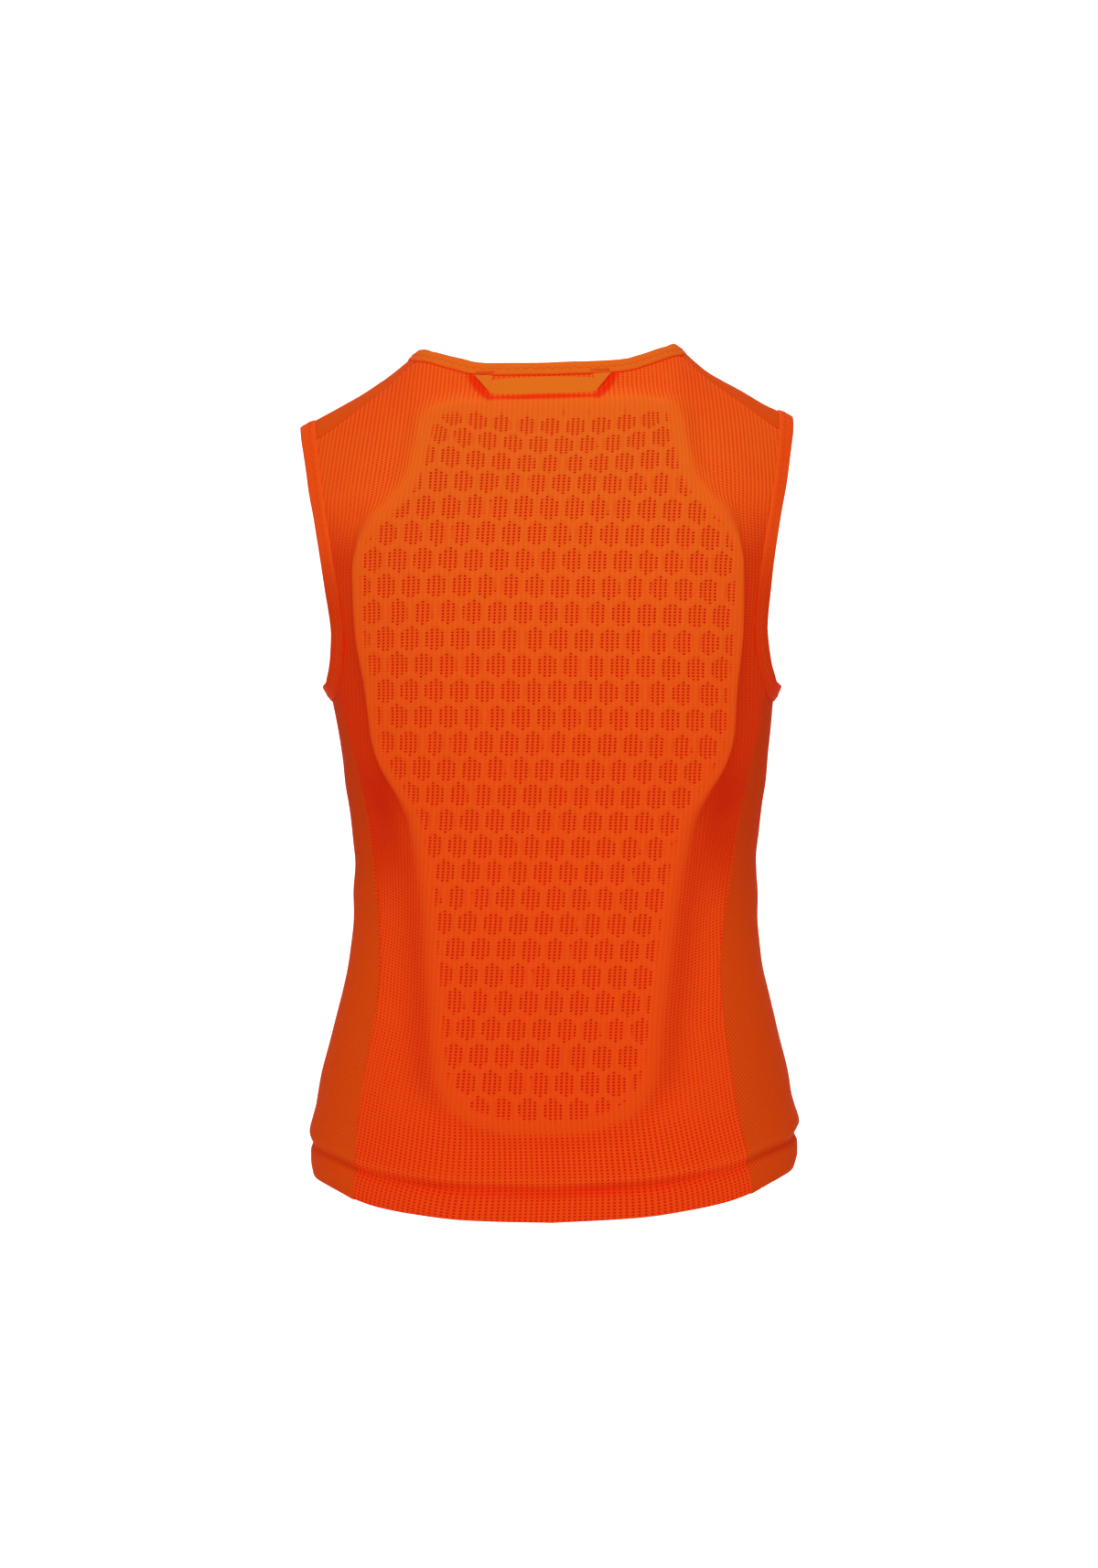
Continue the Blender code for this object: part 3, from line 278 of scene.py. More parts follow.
def shoulder_point(x, angle):
    def half(side):
        z = ridge(x) - SHOULDER_ROUND[side] * (1 - np.cos(angle))
        return xyz(x, section_depth(side, z) * fullness(side, x, z) * np.sin(angle), z)
    return two_halves(half, angle)


def on_shoulder(x, angle):
    return surface(shoulder_point, x, angle, 0.1, 0.004)


def flank_point(angle, z):
    def half(side):
        power = 2 / SQUARENESS[side]
        x = SECTIONS.read("half", z) * np.cos(angle) ** power
        return xyz(x, side * section_depth(side, z) * np.abs(np.sin(angle)) ** power, z)
    return two_halves(half, angle)


def on_flank(angle, z):
    return surface(flank_point, angle, z, 0.002, 0.1)


def flank_angle(side, x, z):
    share = np.minimum(x / SECTIONS.read("half", z), 1.0)
    return side * np.arccos(share ** (SQUARENESS[side] / 2))


def hem_line(side, x):
    share = np.minimum(np.abs(x) / SECTIONS.read("half", HEM_LEVEL), 1.0)
    if side == BACK:
        return HEM_LEVEL - TAIL.read("drop", share)
    return HEM_LEVEL - FRONT_DROP * (1 - share ** 2)


def tilt_at(z):
    tilt = SHOULDER_TILT * np.clip((z - SHOULDER_TILT_FROM) / TILT_FADE, 0.0, 1.0)
    return tilt + HEM_TILT * np.clip((HEM_TILT_FROM - z) / TILT_FADE, 0.0, 1.0)


def place(points):
    """Turn the even form a little, as the vest hangs in the photograph."""
    x, y, z = points[..., 0], points[..., 1], points[..., 2]
    shift = SECTIONS.read("centre", z) - SECTIONS.read("turn", z) * y / 100
    return xyz(x + shift, y, z + tilt_at(z) * x)


def mirrored(array, hand):
    return array * np.array([hand, 1.0, 1.0])


def curve(points, steps=16):
    """A smooth dense curve through a few points."""
    p = np.array(points, float)
    p = np.vstack([2 * p[0] - p[1], p, 2 * p[-1] - p[-2]])
    t = np.linspace(0, 1, steps, endpoint=False)[:, None]
    parts = [0.5 * (2 * b + (c - a) * t + (2 * a - 5 * b + 4 * c - d) * t ** 2
                    + (3 * b - a - 3 * c + d) * t ** 3)
             for a, b, c, d in zip(p, p[1:], p[2:], p[3:])]
    return np.vstack(parts + [p[-2:-1]])


def along_line(line):
    """The length up to each point of a line."""
    return np.append(0.0, np.cumsum(np.linalg.norm(np.diff(line, axis=0), axis=1)))


def read_along(line, lengths, at):
    return np.stack([np.interp(at, lengths, column) for column in line.T], axis=1)


def resampled(line, count):
    """The same line with its points evenly spaced."""
    lengths = along_line(line)
    return read_along(line, lengths, np.linspace(0, lengths[-1], count + 1))


# ---- seams ----
def yoke_reach(side, x):
    near, far = YOKE_REACH[side]
    share = np.clip((x - YOKE_NECK[side]) / (YOKE_ARM[side] - YOKE_NECK[side]), 0.0, 1.0)
    return np.radians(near + (far - near) * share)


def yoke_end(ends, t):
    return ends["ridge"] + (np.where(t < 0, ends[BACK], ends[FRONT]) - ends["ridge"]) * t * t


def yoke_angle(t, x):
    """Angle over the shoulder at a share of the yoke's reach, both negative to the back."""
    return t * np.where(t < 0, yoke_reach(BACK, x), yoke_reach(FRONT, x))


def yoke_seam_z(side, x):
    return shoulder_point(x, side * yoke_reach(side, x))[..., 2]


def yoke_corner(side, ends):
    x = np.array(float(ends[side]))
    return (float(x), float(yoke_seam_z(side, x)))


NECK_SEAM = {side: curve(NECK[side] + [yoke_corner(side, YOKE_NECK)]) for side in (BACK, FRONT)}
ARM_SEAM = {side: curve([yoke_corner(side, YOKE_ARM)] + ARMHOLE[side] + [UNDERARM])
            for side in (BACK, FRONT)}


def top_edge(side, x):
    """Height of the upper seam at x: the neck's, then the yoke's."""
    seam = NECK_SEAM[side]
    neck = np.interp(x, seam[:, 0], seam[:, 1])
    yoke = yoke_seam_z(side, np.maximum(x, YOKE_NECK[side]))
    return np.where(x < YOKE_NECK[side], neck, yoke)


def half_width(side, z):
    """X of the outer seam at a height: the side panel's, then the armhole's."""
    seam = ARM_SEAM[side][::-1]
    arm = np.interp(z, seam[:, 1], seam[:, 0])
    return np.where(z < UNDERARM[1], SIDE_SEAM.read(SIDE_NAME[side], z), arm)


def underarm_dip(share):
    return UNDERARM_DIP * np.sqrt(1 - (2 * share - 1) ** 2)


def seam_distances(side, x, z):
    """How far each spot of a panel is from the armhole, the side seam and the upper seam."""
    ax = np.abs(x)
    beside = half_width(side, z) - ax
    by_arm = z > UNDERARM[1]
    return np.where(by_arm, beside, FAR), np.where(by_arm, FAR, beside), top_edge(side, ax) - z


def fan(side, shares, rows, near=0.0):
    """X and z of a panel's grid. Its columns fan out between the hem and the upper seam."""
    gap = SEAM_GAP / 2

    def x_at(outer):
        return np.sign(shares) * near + shares * (outer - gap - near)

    top = top_edge(side, np.abs(x_at(YOKE_ARM[side]))) - gap
    foot = np.full_like(shares, HEM_LEVEL)
    for _ in range(4):
        foot = hem_line(side, x_at(half_width(side, foot)))
    t = rows[:, None]
    z = foot * (1 - t) + top * t
    return x_at(half_width(side, z)), z


def back_spaced(count, length=590.0):
    """Heights from 0 to 1 up the back, closer together over the hem and beside the loop."""
    heights = np.arange(length)
    dense = np.where(heights < HEM_ZONE, 1 / 0.85,
                     np.where(heights > length - 45, 1 / 1.1, 1 / 2.3))
    counted = np.append(0.0, np.cumsum(dense))
    return np.interp(np.linspace(0, counted[-1], count + 1), counted,
                     np.arange(length + 1) / length)


def hem_spaced(count, length=590.0):
    """Heights from 0 to 1 up a panel, closer together over the turned hem."""
    low = int(count * 0.28)
    turned = HEM_ZONE / length
    return np.append(np.linspace(0, turned, low, endpoint=False),
                     np.linspace(turned, 1, count - low + 1))


# ---- relief ----
def pad_loop():
    """The protector's outline, as a ring of x and z."""
    keys = np.arange(PAD_FOOT, PAD_TOP, 3.0)
    right = np.stack([PAD_OUTLINE.read("half", keys), keys], axis=1)
    top = [(x, PAD_TOP) for x in (62.0, 31.0, 0.0, -31.0, -62.0)]
    return np.vstack([right, top, right[::-1] * (-1, 1), [(0.0, PAD_FOOT - 1)]])


def to_run(x, z, x0, z0, x1, z1):
    """Distance from a straight run between two places, and how far along it from 0 to 1."""
    ex, ez = x1 - x0, z1 - z0
    t = np.clip(((x - x0) * ex + (z - z0) * ez) / (ex * ex + ez * ez), 0, 1)
    return np.hypot(x - x0 - t * ex, z - z0 - t * ez), t


def pad_depth(x, z):
    """Distance inside the protector's outline, negative outside it."""
    loop = pad_loop()
    nearest = np.full(x.shape, np.inf)
    crossed = np.zeros(x.shape, bool)
    for (x0, z0), (x1, z1) in zip(loop, np.roll(loop, -1, axis=0)):
        nearest = np.minimum(nearest, to_run(x, z, x0, z0, x1, z1)[0])
        if z0 != z1:
            level = (z0 > z) != (z1 > z)
            crossed ^= level & (x < (x1 - x0) * (z - z0) / (z1 - z0) + x0)
    return np.where(crossed, nearest, -nearest)


def pad_rise(z):
    share = np.clip((PAD_THINS_FROM - z) / PAD_THINS_OVER, 0.0, 1.0)
    return PAD_RISE + (PAD_RISE_LOW - PAD_RISE) * share


def cell_place(x, z):
    """Place on the wells' even grid: across and down, with the sagging top rows straightened."""
    across = (x - WELL_GRID.read("middle", z)) / WELL_GRID.read("pitch", z)
    z = z + (WELL_FALL + tilt_at(z)) * x
    low = WELL_FIRST_Z - WELL_LOW_ROW * WELL_PITCH_Z
    down = np.where(z > low, (WELL_FIRST_Z - z) / WELL_PITCH_Z,
                    WELL_LOW_ROW + (low - z) / (WELL_PITCH_Z + WELL_LOW_EXTRA))
    share = np.maximum(1 - (x / TOP_ROW_REACH) ** 2, 0.0)
    heights = [ends + (middle - ends) * share for ends, middle in TOP_ROWS]
    heights = [heights[0] + TOP_ROW_RISE] + heights + [np.full_like(x, WELL_FIRST_Z)]
    for i, (high, low) in enumerate(zip(heights, heights[1:])):
        t = (high - z) / (high - low)
        row = i - len(TOP_ROWS) - 1
        down = np.where((z > low) & (z <= high) | ((i == 0) & (z > high)), row + t, down)
    return across, np.maximum(down, -len(TOP_ROWS) - 0.5)


def cell_norm(across, down):
    """0 at the middle of the nearest well and 1 at its rim."""
    norms = []
    for dx, dz in ((across - 0.5, down / 2), (across, down / 2 - 0.5)):
        dx = np.abs(dx - np.round(dx)) * WELL_PITCH_X / WELL_WIDTH
        dz = np.abs(dz - np.round(dz)) * 4 * WELL_PITCH_Z / WELL_HEIGHT
        norms.append(np.maximum(2 * dx, dz + dx))
    return np.minimum(*norms)


def creases(rows, x, z):
    """Soft troughs and ridges, each along a line: its two ends, its width and its lift."""
    total = np.zeros_like(x)
    for *ends, width, lift in rows:
        far, t = to_run(x, z, *ends)
        total += lift * bell(far, width) * (0.35 + 0.65 * np.sin(np.pi * t))
    return total


# from x z, to x z, width, lift
BACK_CREASES = [
    (-128, -330, -92, -520, 15, -2.2), (122, -330, 92, -520, 15, -2.4),
    (-140, -190, -133, -280, 8, -1.6), (139, -180, 133, -275, 8, -1.8),
    (-118, -470, -100, -560, 12, 0.9), (112, -455, 96, -550, 13, 1.0),
    (-70, -556, 65, -557, 10, -0.8), (-150, -95, -120, -150, 14, -0.7),
    (148, -90, 122, -145, 15, -0.8), (-100, -28, -118, -75, 13, 0.6),
]
# The shadow round the hanger loop, over its own cloth.
LOOP_SHADE = [
    (-55.0, -26.0, -42.5, -45.8, 2.6, 3.2), (-42.0, -46.2, 31.0, -46.2, 1.9, 2.0),
    (44.0, -26.6, 31.5, -45.8, 2.6, 3.2),
]
FRONT_CREASES = [
    (20, -120, 70, -190, 16, 0.9), (120, -110, 95, -180, 17, -1.1), (138, -200, 100, -235, 12, 1.3),
    (141, -222, 110, -268, 11, -1.2), (30, -330, 95, -318, 15, -1.0), (60, -372, 126, -352, 13, 1.2),
    (70, -395, 128, -382, 11, -1.1), (18, -430, 80, -412, 14, 0.8), (95, -470, 128, -440, 13, 0.9),
    (12, -505, 60, -530, 17, -0.9), (90, -520, 138, -500, 14, 1.0), (40, -90, 62, -150, 12, -0.6),
]
SIDE_CREASES = [
    (-30, -300, 36, -318, 12, 0.8), (-34, -352, 30, -366, 10, -0.9), (-20, -392, 40, -380, 11, 0.9),
    (-38, -430, 18, -446, 12, -0.7), (-26, -520, 34, -508, 13, 0.7), (0, -252, 12, -292, 9, -0.6),
]


def hem_lift(side, x, z):
    height = z - hem_line(side, x)
    waver = 1 + 0.22 * np.sin(x / 23.0 + side) + 0.12 * np.sin(x / 9.1 + 2.0 * side)
    return HEM_PROFILE.read("lift", height) * waver


def back_lift(x, z):
    """Height of the back's cloth over the body, and its place on the protector's wells."""
    inside = pad_depth(x, z)
    crisp = smooth(np.abs(x), 86, 108) * band(z, *CRISP_PAD_EDGE)
    ramp = smooth(inside, -15 + 13 * crisp, PAD_EDGE + 2 - 3.5 * crisp)
    across, down = cell_place(x, z)
    field = inside - PAD_EDGE - 0.5
    well = (1 - smooth(cell_norm(across, down), 0.65, 1.15)) * smooth(field, 2.5, 6.0)
    lift = ramp * pad_rise(z) - WELL_DEPTH * well * 0.6
    lift = lift + hem_lift(BACK, x, z) + creases(BACK_CREASES, x, z) * (1 - ramp)
    return lift, ramp, field, across, down


# ---- meshes ----
def new_object(name, data):
    made = bpy.data.objects.new(name, data)
    bpy.context.scene.collection.objects.link(made)
    return made


def make_piece(name, points, faces, material, attributes=None):
    """A piece from points in millimetres, with its faces turned outward."""
    mesh = bpy.data.meshes.new(name)
    mesh.from_pydata(place(points) * MM, [], faces)
    for key, values in (attributes or {}).items():
        is_colour = values.shape[1] == 4
        kind, field = ("FLOAT_COLOR", "color") if is_colour else ("FLOAT_VECTOR", "vector")
        layer = mesh.attributes.new(key, kind, "POINT")
        layer.data.foreach_set(field, values.astype(np.float32).ravel())
    work = bmesh.new()
    work.from_mesh(mesh)
    bmesh.ops.recalc_face_normals(work, faces=work.faces)
    if work.calc_volume(signed=True) < 0:
        bmesh.ops.reverse_faces(work, faces=work.faces)
    work.to_mesh(mesh)
    work.free()
    mesh.polygons.foreach_set("use_smooth", [True] * len(mesh.polygons))
    mesh.materials.append(material)
    return new_object(name, mesh)


def grid_faces(high, wide, start=0, flip=False, round_it=False):
    """Quads over a grid of points, closed across its width if it goes round."""
    columns = np.arange(wide if round_it else wide - 1)
    a = np.arange(high - 1)[:, None] * wide + columns + start
    b = np.arange(high - 1)[:, None] * wide + (columns + 1) % wide + start
    quads = np.stack([a, b, b + wide, a + wide], axis=-1).reshape(-1, 4)
    return (quads[:, ::-1] if flip else quads).tolist()


def edge_loop(high, wide, start=0):
    index = start + np.arange(high * wide).reshape(high, wide)
    edges = [index[0], index[1:, -1], index[-1, -2::-1], index[-2:0:-1, 0]]
    return np.concatenate(edges).tolist()


def shell(name, outer, inner, material, attributes, coarse=1):
    """A closed shell of cloth from two grids. The inner one may skip points."""
    high, wide = outer.shape[:2]
    inner = inner[::coarse, ::coarse]
    low_high, low_wide = inner.shape[:2]
    count = high * wide
    faces = grid_faces(high, wide) + grid_faces(low_high, low_wide, count, flip=True)
    out, into = edge_loop(high, wide), edge_loop(low_high, low_wide, count)
    for k in range(len(into)):
        run = [out[(k * coarse + i) % len(out)] for i in range(coarse + 1)]
        faces.append(run + [into[(k + 1) % len(into)], into[k]])

    def joined(first, second):
        depth = first.shape[-1]
        return np.vstack([first.reshape(-1, depth), second.reshape(-1, depth)])

    flat = {key: joined(values, values[::coarse, ::coarse]) for key, values in attributes.items()}
    piece = make_piece(name, joined(outer, inner), faces, material, flat)
    piece.data.set_sharp_from_angle(angle=math.radians(55))
    return piece


def swept(name, spots, normals, sideways, profile, material, attributes, closed):
    """A strip. Its cross-section is a ring of (across, out) pairs, one for all spots or each."""
    points = (spots[:, None] + sideways[:, None] * profile[..., :1]
              + normals[:, None] * profile[..., 1:])
    count, size = points.shape[:2]
    faces = grid_faces(count, size, round_it=True)
    last = (count - 1) * size
    if closed:
        faces += [[last + i, last + (i + 1) % size, (i + 1) % size, i] for i in range(size)]
    else:
        faces += [list(range(size))[::-1], list(range(last, last + size))]
    flat = {key: values.reshape(-1, values.shape[-1]) for key, values in attributes.items()}
    return make_piece(name, points.reshape(-1, 3), faces, material, flat)


def threads(name, runs, material, radius=THREAD, sides=5):
    """Sewing thread along many short runs of (points, normals), as one piece."""
    points, faces = [], []
    angles = np.arange(sides)[:, None] * 2 * np.pi / sides
    start = 0
    for line, normals in runs:
        tangent = unit(np.gradient(line, axis=0))
        side = unit(np.cross(tangent, normals))
        out = np.cross(side, tangent)
        ring = side[:, None] * np.cos(angles) + out[:, None] * np.sin(angles)
        points.append((line[:, None] + radius * ring).reshape(-1, 3))
        faces += grid_faces(len(line), sides, start, round_it=True)
        faces.append([start + i for i in range(sides)])
        faces.append([start + (len(line) - 1) * sides + i for i in reversed(range(sides))])
        start += len(line) * sides
    return make_piece(name, np.vstack(points), faces, material)


# ---- materials ----
GLOW = (1.0, 0.012, 0.002)       # painted red glow for the fluorescent dye: its shadows stay a deep red
GLOW_STRENGTH = 0.42
WHITE = (1.0, 1.0, 1.0)
HOLE_SHADE = (0.27, 0.002, 0.0008)     # painted shade seen through a pinhole
# Painted shade through the pinholes in the foam's wells, and through the side panels' pinholes.
WELL_HOLE_SHADE = (0.16, 0.002, 0.0008)
SIDE_HOLE_SHADE = (0.24, 0.012, 0.001)
# Painted shadow along an edge that runs under a binding.
SEAM_SHADOW = (0.30, 0.006, 0.001)
FUZZ = 5200.0                    # scale of the cloth's fine fuzz


class Wire:
    """A value in a material. Sums, differences and products of wires are wires too."""

    def __init__(self, graph, socket):
        self.graph, self.socket = graph, socket

    def __add__(self, other):
        return self.graph.math("ADD", self, other)

    def __mul__(self, other):
        return self.graph.math("MULTIPLY", self, other)

    def __sub__(self, other):
        return self.graph.math("SUBTRACT", self, other)

    def __rsub__(self, other):
        return self.graph.math("SUBTRACT", other, self)


class Graph:
    """A material's nodes, made by plain calls that return wires."""

    def __init__(self, name, roughness=0.85, glow=GLOW_STRENGTH, specular=0.02,
                 glow_colour=GLOW):
        self.material = bpy.data.materials.new(name)
        self.material.use_nodes = True
        self.tree = self.material.node_tree
        self.shader = self.tree.nodes["Principled BSDF"]
        # The emission paints a glow on each piece, except on the floor, where it keeps the backdrop
        # evenly bright.
        self.fill(self.shader, {"Roughness": roughness, "Specular IOR Level": specular,
                                "Emission Color": glow_colour, "Emission Strength": glow})

    def fill(self, node, inputs):
        for key, value in inputs.items():
            if isinstance(value, Wire):
                self.tree.links.new(value.socket, node.inputs[key])
            else:
                value = (*value, 1.0) if isinstance(value, tuple) else value
                node.inputs[key].default_value = value

    def node(self, kind, inputs, **settings):
        """The wires from a new node's outputs. Its inputs are given by name or by number."""
        node = self.tree.nodes.new("ShaderNode" + kind)
        for key, value in settings.items():
            setattr(node, key, value)
        self.fill(node, inputs)
        return [Wire(self, socket) for socket in node.outputs]

    def math(self, operation, *values):
        return self.node("Math", dict(enumerate(values)), operation=operation)[0]

    def carried(self, name):
        """What the mesh carries at each point under a name, as a colour and as a vector."""
        return self.node("Attribute", {}, attribute_name=name)[:2]

    def tone(self):
        return self.carried("tone")[0]

    def parts(self, name):
        return self.node("SeparateXYZ", {0: self.carried(name)[1]})

    def object_spot(self):
        return self.node("TexCoord", {})[3]

    def step(self, value, low, high):
        """0 below low and 1 above high, or the other way round."""
        inputs = {0: value, 1: min(low, high), 2: max(low, high),
                  3: float(low > high), 4: float(low < high)}
        return self.node("MapRange", inputs, interpolation_type="SMOOTHSTEP")[0]

    def mix(self, factor, a, b, blend="MIX"):
        return self.node("Mix", {0: factor, 6: a, 7: b}, data_type="RGBA", blend_type=blend)[2]

    def tint(self, colour, factor, a, b):
        """A colour times another one, which goes from a to b with the factor."""
        return self.mix(1.0, colour, self.mix(factor, a, b), "MULTIPLY")

    def noise(self, scale, detail=2.0):
        inputs = {"Vector": self.object_spot(), "Scale": scale, "Detail": detail}
        return self.node("TexNoise", inputs)[0]

    def offset(self, value, shift=0.0):
        """How far a value is from the nearest whole number."""
        moved = value - shift
        return moved - self.math("ROUND", moved)

    def dots(self, columns, rows, size, edge, column_shift=0.0, row_shift=0.0):
        """Dots at whole columns and rows. Size is a cell's, in millimetres."""
        dx = self.offset(columns, column_shift) * size[0]
        dz = self.offset(rows, row_shift) * size[1]
        return self.step(self.math("SQRT", dx * dx + dz * dz), edge[1], edge[0])

    def under_binding(self, colour, rim, strength):
        """A dark thread's width of shadow along the edges that run under a binding."""
        return self.mix(self.step(rim, 1.5, 0.35) * strength, colour, SEAM_SHADOW)

    def finish(self, colour, height=None, distance=0.0, strength=1.0):
        """The material, with its colour and its bumps. Their distance is in millimetres."""
        self.fill(self.shader, {"Base Color": colour})
        if height:
            bump = {"Height": height, "Distance": distance * MM, "Strength": strength}
            self.fill(self.shader, {"Normal": self.node("Bump", bump)[0]})
        return self.material


def pinholes(g, column, row, weight, pale=1.0):
    """The back's knit: holes in upright files, which the callers paint with the shade behind them,
    and paler bars between them.
    """
    tall = (KNIT_STEP[0], KNIT_STEP[1] * 1.2)
    holes = g.dots(column, row, tall, HOLE_SIZE)
    bars = g.dots(column, row, tall, (0.2, 0.8), row_shift=0.5)
    file = g.math("ABSOLUTE", g.offset(column)) * KNIT_STEP[0]
    tone = g.tint(g.tone(), bars * pale, WHITE, (1.0, 1.14, 1.16))
    tone = g.tint(tone, g.step(file, 0.9, 0.3) * (1.0 - pale), WHITE, (1.0, 0.90, 0.90))
    return tone, g.math("MINIMUM", holes * weight, 1.0)


def cell_rim(g, across, down):
    """0 at the middle of the nearest well and 1 at its rim."""
    norms = []
    for shift_x, shift_z in ((0.5, 0.0), (0.0, 0.5)):
        dx = g.math("ABSOLUTE", g.offset(across, shift_x)) * (WELL_PITCH_X / WELL_WIDTH)
        dz = g.math("ABSOLUTE", g.offset(down * 0.5, shift_z)) * (4 * WELL_PITCH_Z / WELL_HEIGHT)
        norms.append(g.math("MAXIMUM", dx * 2.0, dz + dx))
    return g.math("MINIMUM", *norms)


def mesh_material():
    """Pinholes are painted with the shade behind them where nothing is under them: beside the foam,
    and whole ones in its wells.
    """
    g = Graph("back_mesh")
    across, down, inside = g.parts("cell")
    column, row, rim = g.parts("knit")
    seam, open_cloth, _ = g.parts("extra")
    field = g.step(inside, 0.5, 6.0)
    on_pad = g.step(inside, -11.0, -4.0)
    hole_across = across - g.offset(column) * (KNIT_STEP[0] / WELL_PITCH_X)
    hole_down = down + g.offset(row) * (KNIT_STEP[1] / WELL_PITCH_Z)
    bare = g.step(cell_rim(g, hole_across, hole_down), 1.07, 1.01) * field
    well = g.step(cell_rim(g, across, down), 1.16, 0.92) * field
    patchy = (g.noise(70.0, 1.0) * 0.7 + 0.65) * (g.noise(260.0, 1.0) * 0.5 + 0.80)
    backed = on_pad * (1.0 - bare)
    weight = (open_cloth + bare * 0.9) * (1.0 - backed * 0.82) * patchy
    tone, dark = pinholes(g, column, row, weight, g.math("MAXIMUM", bare, 1.0 - on_pad))
    # Painted shade in the foam's wells; over the webs the mesh is paler where the foam backs it.
    tone = g.tint(tone, well, WHITE, (1.0, 0.92, 0.90))
    tone = g.tint(tone, on_pad - well, WHITE, (1.0, 1.08, 1.10))
    tone = g.mix(dark, tone, g.mix(bare, HOLE_SHADE, WELL_HOLE_SHADE))
    return g.finish(g.under_binding(tone, rim, seam), g.noise(FUZZ) * 0.25 - dark, 0.35, 0.55)


def plain_mesh_material():
    """The front: the same knit, with nothing under it; its pinholes are painted with the shade
    behind them.
    """
    g = Graph("front_mesh")
    column, row, rim = g.parts("knit")
    tone, dark = pinholes(g, column, row, g.noise(240.0, 1.0) * 0.5 + 0.60, 0.5)
    tone = g.under_binding(g.mix(dark, tone, HOLE_SHADE), rim, g.parts("extra")[0])
    return g.finish(tone, g.noise(FUZZ) * 0.25 - dark, 0.35, 0.55)


def side_material():
    """A closer mesh, with its holes in staggered rows, painted with the shade behind them."""
    g = Graph("side_mesh", glow=0.25)
    column, row, rim = g.parts("knit")
    first, second = (g.dots(column, row, FINE_PITCH, (0.25, 0.75), shift, shift)
                     for shift in (0.0, 0.5))
    dark = g.math("MAXIMUM", first, second) * 0.7
    tone = g.under_binding(g.mix(dark, g.tone(), SIDE_HOLE_SHADE), rim, g.parts("extra")[0])
    return g.finish(tone, g.noise(FUZZ) * 0.3 - dark, 0.3, 0.5)


def knit_material():
    """Plain knit of the yokes and the zip's tape: fine ribs that run slantwise."""
    g = Graph("yoke_knit")
    across, along, rim = g.parts("knit")
    ribs = g.math("SINE", across * 6.2 + along * 3.4) * 0.5 + 0.5
    ribs = ribs * (g.math("SINE", along * 9.0) * 0.2 + 0.8)
    tone = g.tint(g.tone(), ribs, (0.93, 0.86, 0.86), (1.0, 1.04, 1.04))
    tone = g.under_binding(tone, rim, g.parts("extra")[0])
    return g.finish(tone, g.noise(FUZZ) * 0.4 + ribs * 0.5, 0.25, 0.5)


def binding_material():
    """Folded elastic: fine ribs across, soft and a little shiny."""
    g = Graph("binding", roughness=0.72)
    along, across, _ = g.parts("knit")
    weave = (g.math("SINE", along * (2 * math.pi / 0.8))
             * g.math("SINE", across * (2 * math.pi / 0.9))) * 0.25
    tone = g.tint(g.tone(), weave + 0.5, (0.96, 0.93, 0.93), (1.02, 1.06, 1.06))
    tone = g.tint(tone, g.noise(180.0), (0.97, 0.93, 0.92), (1.03, 1.07, 1.08))
    return g.finish(tone, g.noise(4200.0) * 0.4 + weave, 0.2, 0.5)


def tape_material():
    g = Graph("loop_tape", roughness=0.7)
    wave = {"Vector": g.object_spot(), "Scale": 620.0, "Distortion": 1.2}
    stripes, weave = g.node("TexWave", wave, bands_direction="DIAGONAL")
    tone = g.mix(weave, (0.250, 0.110, 0.0066), (0.268, 0.122, 0.0076))
    return g.finish(tone, stripes, 0.15, 0.35)


def foam_material():
    g = Graph("foam", roughness=0.9, glow=0.3)
    tone = g.mix(g.noise(900.0, 3.0), (0.36, 0.075, 0.009), (0.44, 0.11, 0.016))
    return g.finish(tone, g.noise(2600.0), 0.6, 0.6)


def thread_material(name, colour):
    g = Graph(name, roughness=0.6)
    twist = g.noise(3000.0, 1.0)
    return g.finish(g.mix(twist, tuple(c * 0.85 for c in colour), colour), twist, 0.1, 0.4)


def coil_material():
    g = Graph("zip_coil", roughness=0.42, glow=0.3, specular=0.12)
    return g.finish(g.mix(g.noise(700.0, 1.0), (0.30, 0.052, 0.004), (0.35, 0.066, 0.005)))


def metal_material():
    """Die cast and lacquered in the vest's orange, rubbed a little."""
    g = Graph("zip_metal", roughness=0.34, glow=0.25, specular=0.16)
    tone = g.mix(g.noise(300.0, 3.0), (0.32, 0.050, 0.004), (0.42, 0.070, 0.006))
    return g.finish(tone, g.noise(1200.0), 0.1, 0.2)


# ---- tones ----
# Base colour of the back's mesh by height. It is greener and paler towards the top, partly as
# painted light from above.
BACK_TONE = Table("z red green blue", [
    (-600, 0.345, 0.052, 0.0036), (-450, 0.340, 0.057, 0.0039), (-300, 0.325, 0.065, 0.0045),
    (-150, 0.305, 0.083, 0.0060), (-75, 0.275, 0.089, 0.0066), (-40, 0.290, 0.080, 0.0054),
])
YOKE_TONE = (0.238, 0.063, 0.0028)
SIDE_TONE = (0.44, 0.073, 0.0036)
NECK_TONE = (0.27, 0.100, 0.0060)
ARM_TONE = (0.335, 0.064, 0.0045)
ZIP_TONE = (0.30, 0.062, 0.0040)


def shaded(rgb, shade, red_shade=0.0):
    """Colour with painted shade: darker where shade is above 0, and redder where the painted red
    shade is above 0; below 0 that paints a highlight.
    """
    dim = np.stack([(1 - 0.8 * shade) * (1 - part * red_shade) for part in (0.1, 0.75, 0.8)],
                   axis=-1)
    return np.concatenate([np.array(rgb) * dim, np.ones(dim.shape[:-1] + (1,))], axis=-1)


def back_tone(z, shade, red_shade):
    rgb = np.stack([BACK_TONE.read(name, z) for name in ("red", "green", "blue")], axis=-1)
    return shaded(rgb, shade, red_shade)


